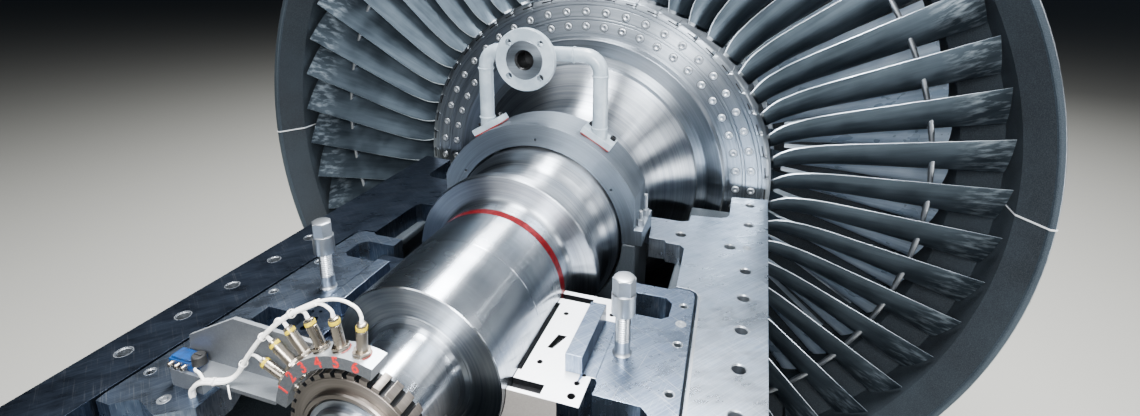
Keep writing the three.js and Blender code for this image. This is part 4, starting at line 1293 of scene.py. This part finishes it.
# Sensor leads: points across, station, height; they repeat the route of the solid leads
BUNDLE_ROUTE = [
    (-62, -1259, 238), (-119, -1259, 204), (-150, -1259, 180), (-189, -1260, 143), (-219, -1261, 108),
    (-240, -1263, 78), (-256, -1267, 54), (-268, -1275, 46), (-290, -1284, 44), (-315, -1287, 39),
    (-335, -1288, 25), (-345, -1288, 10), (-345, -1288, 0.6),
]
LEAD_ROUTES = [
    [(16, 242), (3, 249), (-14, 252), (-38, 248), (-64, 237)],
    [(-42, 234), (-55, 237), (-75, 231), (-92, 221)],
    [(-98, 214), (-121, 203)],
    [(-146, 188), (-161, 169)],
    [(-188, 148), (-203, 127)],
    [(-213, 100), (-229, 96), (-243, 74)],
]
TERMINAL_LEAD = [(-312, -1286, 40), (-326, -1282, 50), (-340, -1278, 49), (-346, -1274.6, 48)]
STRANDS = 5
# Cable ties: which point of the bundle, and the bundle's direction there
TIES = [(1, (-1, 0, -0.6)), (3, (-0.7, 0, -0.8)), (5, (-0.6, 0, -1)), (8, (-1, -0.4, -0.1))]
TIE = [(6.2, -1.8), (7.3, -1.8), (7.3, 1.8), (6.2, 1.8)]
TIE_TAIL = [(-262, -1281, 42), (-254, -1287, 34), (-252, -1288, 22)]


class TURBINE_OT_sensor_leads(bpy.types.Operator):
    """White sensor leads, their bracket and the terminal box"""
    bl_idname = "turbine.sensor_leads"
    bl_label = "Sensor leads"

    def execute(self, context):
        leads = []
        for i, route in enumerate(LEAD_ROUTES):
            angle = SENSOR_FIRST + i * SENSOR_PITCH
            start = [around(r, angle, SENSOR_STATION) for r in (224, 229)]
            rest = [spot(x, SENSOR_STATION - (i % 2), z) for x, z in route]
            # past its joining point each lead runs on inside the bundle for a short way
            leads.append(tube([*start, *rest], 2.7, "lead"))
        bundle = [spot(*p) for p in BUNDLE_ROUTE]
        for k in range(STRANDS):
            turn = math.radians(360 / STRANDS * k)
            offset = Vector((3.2 * math.cos(turn), 3.2 * math.sin(turn), 0)) * MM
            lift = Vector((0, 0, 2.2 * math.sin(turn + 0.7))) * MM
            strand = [p + offset + (lift if j < 11 else Vector()) for j, p in enumerate(bundle)]
            leads.append(tube(strand, 2.8, "strand"))
        leads.append(tube([spot(*p) for p in TERMINAL_LEAD], 2.7, "terminal_lead"))
        give(joined(leads), "white_leads", ["white_pvc"], BODY_OF_CASING, "cable_jacket", "sensor_cables",
             smooth=60)
        ties = []
        for index, direction in TIES:
            ties.append(closed_ring(TIE, 24, bundle[index], Vector(direction).normalized()))
        ties.append(tube([spot(*p) for p in TIE_TAIL], 1.5, "tie_tail"))
        give(joined(ties), "cable_ties", ["white_pvc"], BODY_OF_CASING, "cable_jacket")
        bracket = give(solid_copy("sensor_bracket", 1.0), "bracket", HOLDER_FINISHES, BODY_OF_CASING,
                       "ground_plate", "sensor_bracket")
        paint_faces(bracket, faces_front)
        self.terminal_box()
        return {"FINISHED"}

    def terminal_box(self):
        """Small blue box with a black knob and three sockets."""
        case = joined([block((-412, -1274, SHELF_TOP + 0.4), (-352, -1243, 54), 1.6, 3),
                       block((-408, -1271, 53.5), (-362, -1246, 58), 1.2)])
        give(case, "terminal_case", ["blue_abs"], BODY_OF_CASING, "blue_plastic", "terminal_box")
        profile = [(0, 68.5), (10.5, 68.5), (12, 67), (12.6, 56), (13, 50), (0, 50)]
        knob = revolve(profile, 28, spot(-349, -1262, 0), UP)
        slot = block((-357, -1264, 68), (-341, -1260, 70), 0.5)
        give(joined([knob, slot]), "terminal_knob", ["black_rubber"], BODY_OF_CASING, "blue_plastic")
        profile = [(0, 9), (4, 9), (5, 8), (5, -2), (0, -2)]
        sockets = [revolve(profile, 20, spot(x, -1274, 46), -AXIS) for x in (-402, -386, -370)]
        give(joined(sockets), "terminal_sockets", ["nickel_plating"], BODY_OF_CASING, "nickel")


# Rim of the casing ring: inner and outer radius, where its outer edge painted bright as a painted highlight
# begins, and how far back it is machined
RIM_INNER, RIM_OUTER = 1428, 1451
PAINTED_HIGHLIGHT_EDGE = 1445.5
RIM_BACK = 12
RING_PROFILE = [
    (1430, 7), (1434, 5), (1446, 5), (1450, 9), (1450, 458), (1455, 462), (1496, 470), (1500, 474),
    (1500, 516), (1496, 520), (1279, 520), (1275, 516), (1275, 332), (1277, 328), (1373, 226), (1374, 223),
    (1374, 95), (1375, 92), (1427, 12),
]
# Edge of the joint between the ring's halves, painted near-white as a painted highlight line: across and
# along
RING_SEAM = [
    (1373, 222), (1373, 90), (1427, 9), (1430, 3.8), (1447, 2.8), (1453, 9), (1453, 15), (1446, 9.5),
    (1432, 10.5), (1380, 92), (1380, 222),
]
SEAM_HEIGHT = 4.8
RIB_ANGLES = (-62, -50, -38, -13, 0, 13, 38, 50, 62, 118, 163, 180, 197, 242)
DIAPHRAGM_PROFILE = [
    (660, 490), (704, 490), (706, 492), (706, 498), (1222, 498), (1222, 492), (1224, 490), (1274.6, 490),
    (1274.6, 520), (1224, 520), (1222, 518), (1222, 512), (706, 512), (706, 518), (704, 520), (660, 520),
]
# Section of a guide vane: angle and station at its foot
GUIDE_VANE = [(1.1, 491), (2.0, 495), (3.2, 502), (4.6, 514), (4.9, 518), (4.2, 517), (2.6, 507), (1.5, 499)]
VANE_FOOT = 707
VANE_LENGTH = 514
VANE_COUNT = 44


def half_ring(profile, steps, side):
    """Half of a turned ring above (1) or below (-1) the joint plane, with closed ends."""
    gap = 0.01
    return closed_ring(profile, steps, turn=-side * (180 - 2 * gap), start=-side * gap, fill=True)


def rim_zone(radius, station, face):
    """0 for the cast body, 1 for the machined rim, 2 for the rim's outer edge, painted bright as a painted
    highlight.
    """
    if station > RIM_BACK or not RIM_INNER < radius < RIM_OUTER:
        return 0
    return 2 if radius > PAINTED_HIGHLIGHT_EDGE else 1


class TURBINE_OT_casing_ring(bpy.types.Operator):
    """Casing ring round the last stage, in two halves"""
    bl_idname = "turbine.casing_ring"
    bl_label = "Casing ring"

    def execute(self, context):
        for side, half in ((1, "upper"), (-1, "lower")):
            pieces = [half_ring(RING_PROFILE, 90, side)]
            for x in (-1, 1):
                pieces.append(block((x * 1440, 180, side * 1), (x * 1524, 520, side * 70), 4, 3))
                if side < 0:
                    pieces.append(block((x * 800, 160, -1529.5), (x * 1050, 460, -1010), 5, 3))
            ring = rounded(joined(pieces), 1.2, 2, 35)
            give(ring, half + "_casing_ring", ["primed_cast_iron", "ring_rim_iron", "bright_turned_steel"],
                 BODY_OF_CASING, "casting", "casing_ring_" + half, smooth=24)
            paint_faces(ring, rim_zone)
        ribs = []
        for lean in RIB_ANGLES:
            ribs.append(turn_about(block((-9, 70, 1446), (9, 466, 1488), 3), lean, spot(0, 0, 0)))
        give(joined(ribs), "casing_ring_ribs", ["primed_cast_iron"], BODY_OF_CASING, "casting")
        lugs = []
        for lean in (-26, 26):
            eye = disc(24, 100, 200, 32, spot(0, 0, 1500))
            lug = cut_with(block((-60, 130, 1440), (60, 172, 1548), 8, 3), eye)
            lugs.append(turn_about(lug, lean, spot(0, 0, 0)))
        give(joined(lugs), "lifting_lugs", ["primed_cast_iron"], BODY_OF_CASING, "casting")
        bolts = []
        for x in (-1487, 1487):
            for station in (230, 310, 390, 470):
                for side in (-1, 1):
                    foot = spot(x, station, side * 70)
                    bolts.append(rounded(disc(22, -1, 24, 6, foot, side * UP), 1.6))
                    end = [(0, 22), (14, 22), (14, 36), (12, 38), (0, 38)]
                    bolts.append(revolve(end, 20, foot, side * UP))
        give(joined(bolts), "ring_joint_bolts", ["black_oxide_steel"], BODY_OF_CASING, "casting")
        seams = []
        for side in (-1, 1):
            outline = [spot(side * x, station, SEAM_HEIGHT / 2) for x, station in RING_SEAM]
            seams.append(prism(outline, SEAM_HEIGHT, -UP, 0))
        # the seam is painted near-white as a painted highlight line
        give(joined(seams), "ring_joint_seam", ["bearing_face_steel"], BODY_OF_CASING, "casting")
        return {"FINISHED"}


class TURBINE_OT_diaphragm(bpy.types.Operator):
    """Guide-blade diaphragm seated in the casing ring, in two halves"""
    bl_idname = "turbine.diaphragm"
    bl_label = "Guide-blade diaphragm"

    def execute(self, context):
        for side, half in ((1, "upper"), (-1, "lower")):
            give(rounded(half_ring(DIAPHRAGM_PROFILE, 64, side), 1.0), half + "_diaphragm",
                 ["primed_cast_iron"], BODY_OF_CASING, "casting", "diaphragm_" + half)
        outline = [around(VANE_FOOT, angle, station) for angle, station in GUIDE_VANE]
        vanes = repeat_round(prism(outline, VANE_LENGTH, Vector((1, 0, 0)), 0), VANE_COUNT)
        give(vanes, "guide_vanes", ["row_blade_steel"], BODY_OF_CASING, "casting")
        return {"FINISHED"}


class TURBINE_OT_foundation(bpy.types.Operator):
    """Inlet-end pedestal and foundation beams"""
    bl_idname = "turbine.foundation"
    bl_label = "Foundation"

    def execute(self, context):
        castings("inlet_pedestal", "cross_beam", "front_beam", "rear_beam")
        bolts = []
        for side in (-1, 1):
            for station in (2355, 2655):
                bolts += foot_bolt(side * 470, station, -1590)
                bolts += foot_bolt(side * 470, station, 0)
            for station in (160, 310, 460):
                bolts += foot_bolt(side * 1085, station, -1530)
        give(joined(bolts), "foundation_bolts", ["black_oxide_steel"], BODY_OF_CASING, "casting")
        return {"FINISHED"}


# Stage

FLOOR_SIZE = 120
# Camera solved from the photograph: its place, its axes, and the lens with its shift
CAMERA_PLACE = (0.5695, -2.622, 2.4256)
CAMERA_RIGHT = (0.9485, 0.3167, 0.0057)
CAMERA_UP = (-0.0873, 0.2438, 0.9659)
CAMERA_BACK = (0.3045, -0.9167, 0.2589)
LENS = 17.88
SHIFT = (-0.001, -0.0892)


def area_light(name, place_at, aim, size, power):
    data = bpy.data.lights.new(name, "AREA")
    data.shape = "RECTANGLE"
    data.size, data.size_y = size
    data.energy = power
    lamp = bpy.data.objects.new(name, data)
    lamp.location = place_at
    lamp.rotation_mode = "QUATERNION"
    lamp.rotation_quaternion = (Vector(aim) - Vector(place_at)).to_track_quat("-Z", "Y")
    bpy.context.scene.collection.objects.link(lamp)


class TURBINE_OT_stage(bpy.types.Operator):
    """Pale floor, soft lights and the camera"""
    bl_idname = "turbine.stage"
    bl_label = "Stage"

    def execute(self, context):
        look = context.scene.turbine_stage
        deselect()
        bpy.ops.mesh.primitive_plane_add(size=FLOOR_SIZE, location=(0, 0, 0))
        floor = place(bpy.context.object)
        floor.name = "studio_floor"
        material, tree = new_finish("studio_floor_paint")[:2]
        surface(tree, {"Base Color": look.floor_colour, "Roughness": 0.75})
        floor.data.materials.append(material)
        self.world()
        area_light("overhead_strip", (-0.25, 0.2, 6.4), (-0.1, -0.6, 1.6), (1.5, 6.0), look.key_power)
        area_light("front_softbox", (-1.8, -7.0, 5.0), (0.2, -0.4, 1.6), (4.0, 2.6), 290)
        area_light("right_softbox", (6.0, -2.0, 4.2), (0.3, -0.6, 1.6), (2.4, 1.5), 130)
        area_light("rear_softbox", (1.5, 7.0, 6.0), (0, 1.0, 1.6), (4.0, 2.5), 450)
        area_light("low_right_softbox", (3.3, -1.7, 1.2), (1.0, -0.4, 1.9), (1.4, 0.9), 60)
        # a lamp beside the camera reaches the rows behind through the gaps of the long blades
        area_light("gap_lamp", (0.7, -3.1, 2.8), (1.0, 0.3, 1.7), (0.7, 0.7), 120)
        # two slim lamps, long in the shaft's direction, draw the thin bright lines on the journal
        area_light("slim_lamp", (3.5, -1.5, 5.1), (0.1, -0.9, 1.6), (5.0, 0.1), 60)
        area_light("slim_lamp_lower", (4.0, -1.5, 4.7), (0.1, -0.9, 1.6), (5.0, 0.06), 28)
        data = bpy.data.cameras.new("photo_camera")
        data.sensor_width = 36
        data.lens = LENS
        data.shift_x, data.shift_y = SHIFT
        data.clip_start = 0.05
        data.clip_end = 300
        camera = bpy.data.objects.new("photo_camera", data)
        axes = [Vector(v) for v in (CAMERA_RIGHT, CAMERA_UP, CAMERA_BACK)]
        camera.matrix_world = Matrix.Translation(CAMERA_PLACE) @ Matrix(axes).transposed().to_4x4()
        context.scene.collection.objects.link(camera)
        context.scene.camera = camera
        return {"FINISHED"}

    def world(self):
        """Grey surroundings, darker at the front left, which give the turned steel its dark side."""
        world = bpy.data.worlds.new("studio_world")
        bpy.context.scene.world = world
        world.use_nodes = True
        tree = world.node_tree
        tree.nodes.clear()
        direction = add_node(tree, "ShaderNodeTexCoord").outputs["Generated"]
        parts = add_node(tree, "ShaderNodeSeparateXYZ", {0: direction}).outputs
        rise = {"Value": parts["Z"], "From Min": -0.1, "From Max": 0.9}
        height = add_node(tree, "ShaderNodeMapRange", rise).outputs[0]
        across = {"Value": parts["X"], "From Min": -0.6, "From Max": 0.5, "To Min": 0.015, "To Max": 0.2}
        glow = add_node(tree, "ShaderNodeMapRange", across).outputs[0]
        mixed = {0: height, 6: linear("#a4b6cc"), 7: linear("#3e4a5a")}
        shade = add_node(tree, "ShaderNodeMix", mixed, data_type="RGBA").outputs[2]
        lit = add_node(tree, "ShaderNodeBackground", {"Color": shade, "Strength": glow})
        add_node(tree, "ShaderNodeOutputWorld", {"Surface": lit.outputs[0]})


PIECES = (
    TURBINE_OT_shaft, TURBINE_OT_toothed_wheel, TURBINE_OT_last_stage, TURBINE_OT_second_stage,
    TURBINE_OT_drum_rows, TURBINE_OT_joint_plates, TURBINE_OT_housing, TURBINE_OT_bearing,
    TURBINE_OT_clamp_studs, TURBINE_OT_gland, TURBINE_OT_leak_off_pipe, TURBINE_OT_sensors,
    TURBINE_OT_sensor_arc, TURBINE_OT_sensor_leads, TURBINE_OT_casing_ring, TURBINE_OT_diaphragm,
    TURBINE_OT_foundation, TURBINE_OT_stage,
)


class TURBINE_PT_panel(bpy.types.Panel):
    """Lists the pieces of the turbine"""
    bl_idname = "TURBINE_PT_panel"
    bl_label = "Steam turbine rotor"
    bl_space_type = "VIEW_3D"
    bl_region_type = "UI"
    bl_category = "Turbine"

    def draw(self, context):
        for group in ("turbine_rotor", "turbine_housing", "turbine_stage"):
            settings = getattr(context.scene, group)
            for name in settings.__annotations__:
                self.layout.prop(settings, name)
        for operator in PIECES:
            self.layout.operator(operator.bl_idname)


GROUPS = {"turbine_rotor": RotorSizes, "turbine_housing": HousingSizes, "turbine_stage": StageLook}


def register():
    for group in (*GROUPS.values(), *PIECES, TURBINE_PT_panel):
        bpy.utils.register_class(group)
    for name, group in GROUPS.items():
        setattr(bpy.types.Scene, name, PointerProperty(type=group))


def unregister():
    for name in GROUPS:
        delattr(bpy.types.Scene, name)
    for group in reversed((*GROUPS.values(), *PIECES, TURBINE_PT_panel)):
        bpy.utils.unregister_class(group)


def main():
    register()
    for operator in PIECES:
        category, name = operator.bl_idname.split(".")
        getattr(getattr(bpy.ops, category), name)()


if __name__ == "__main__":
    main()
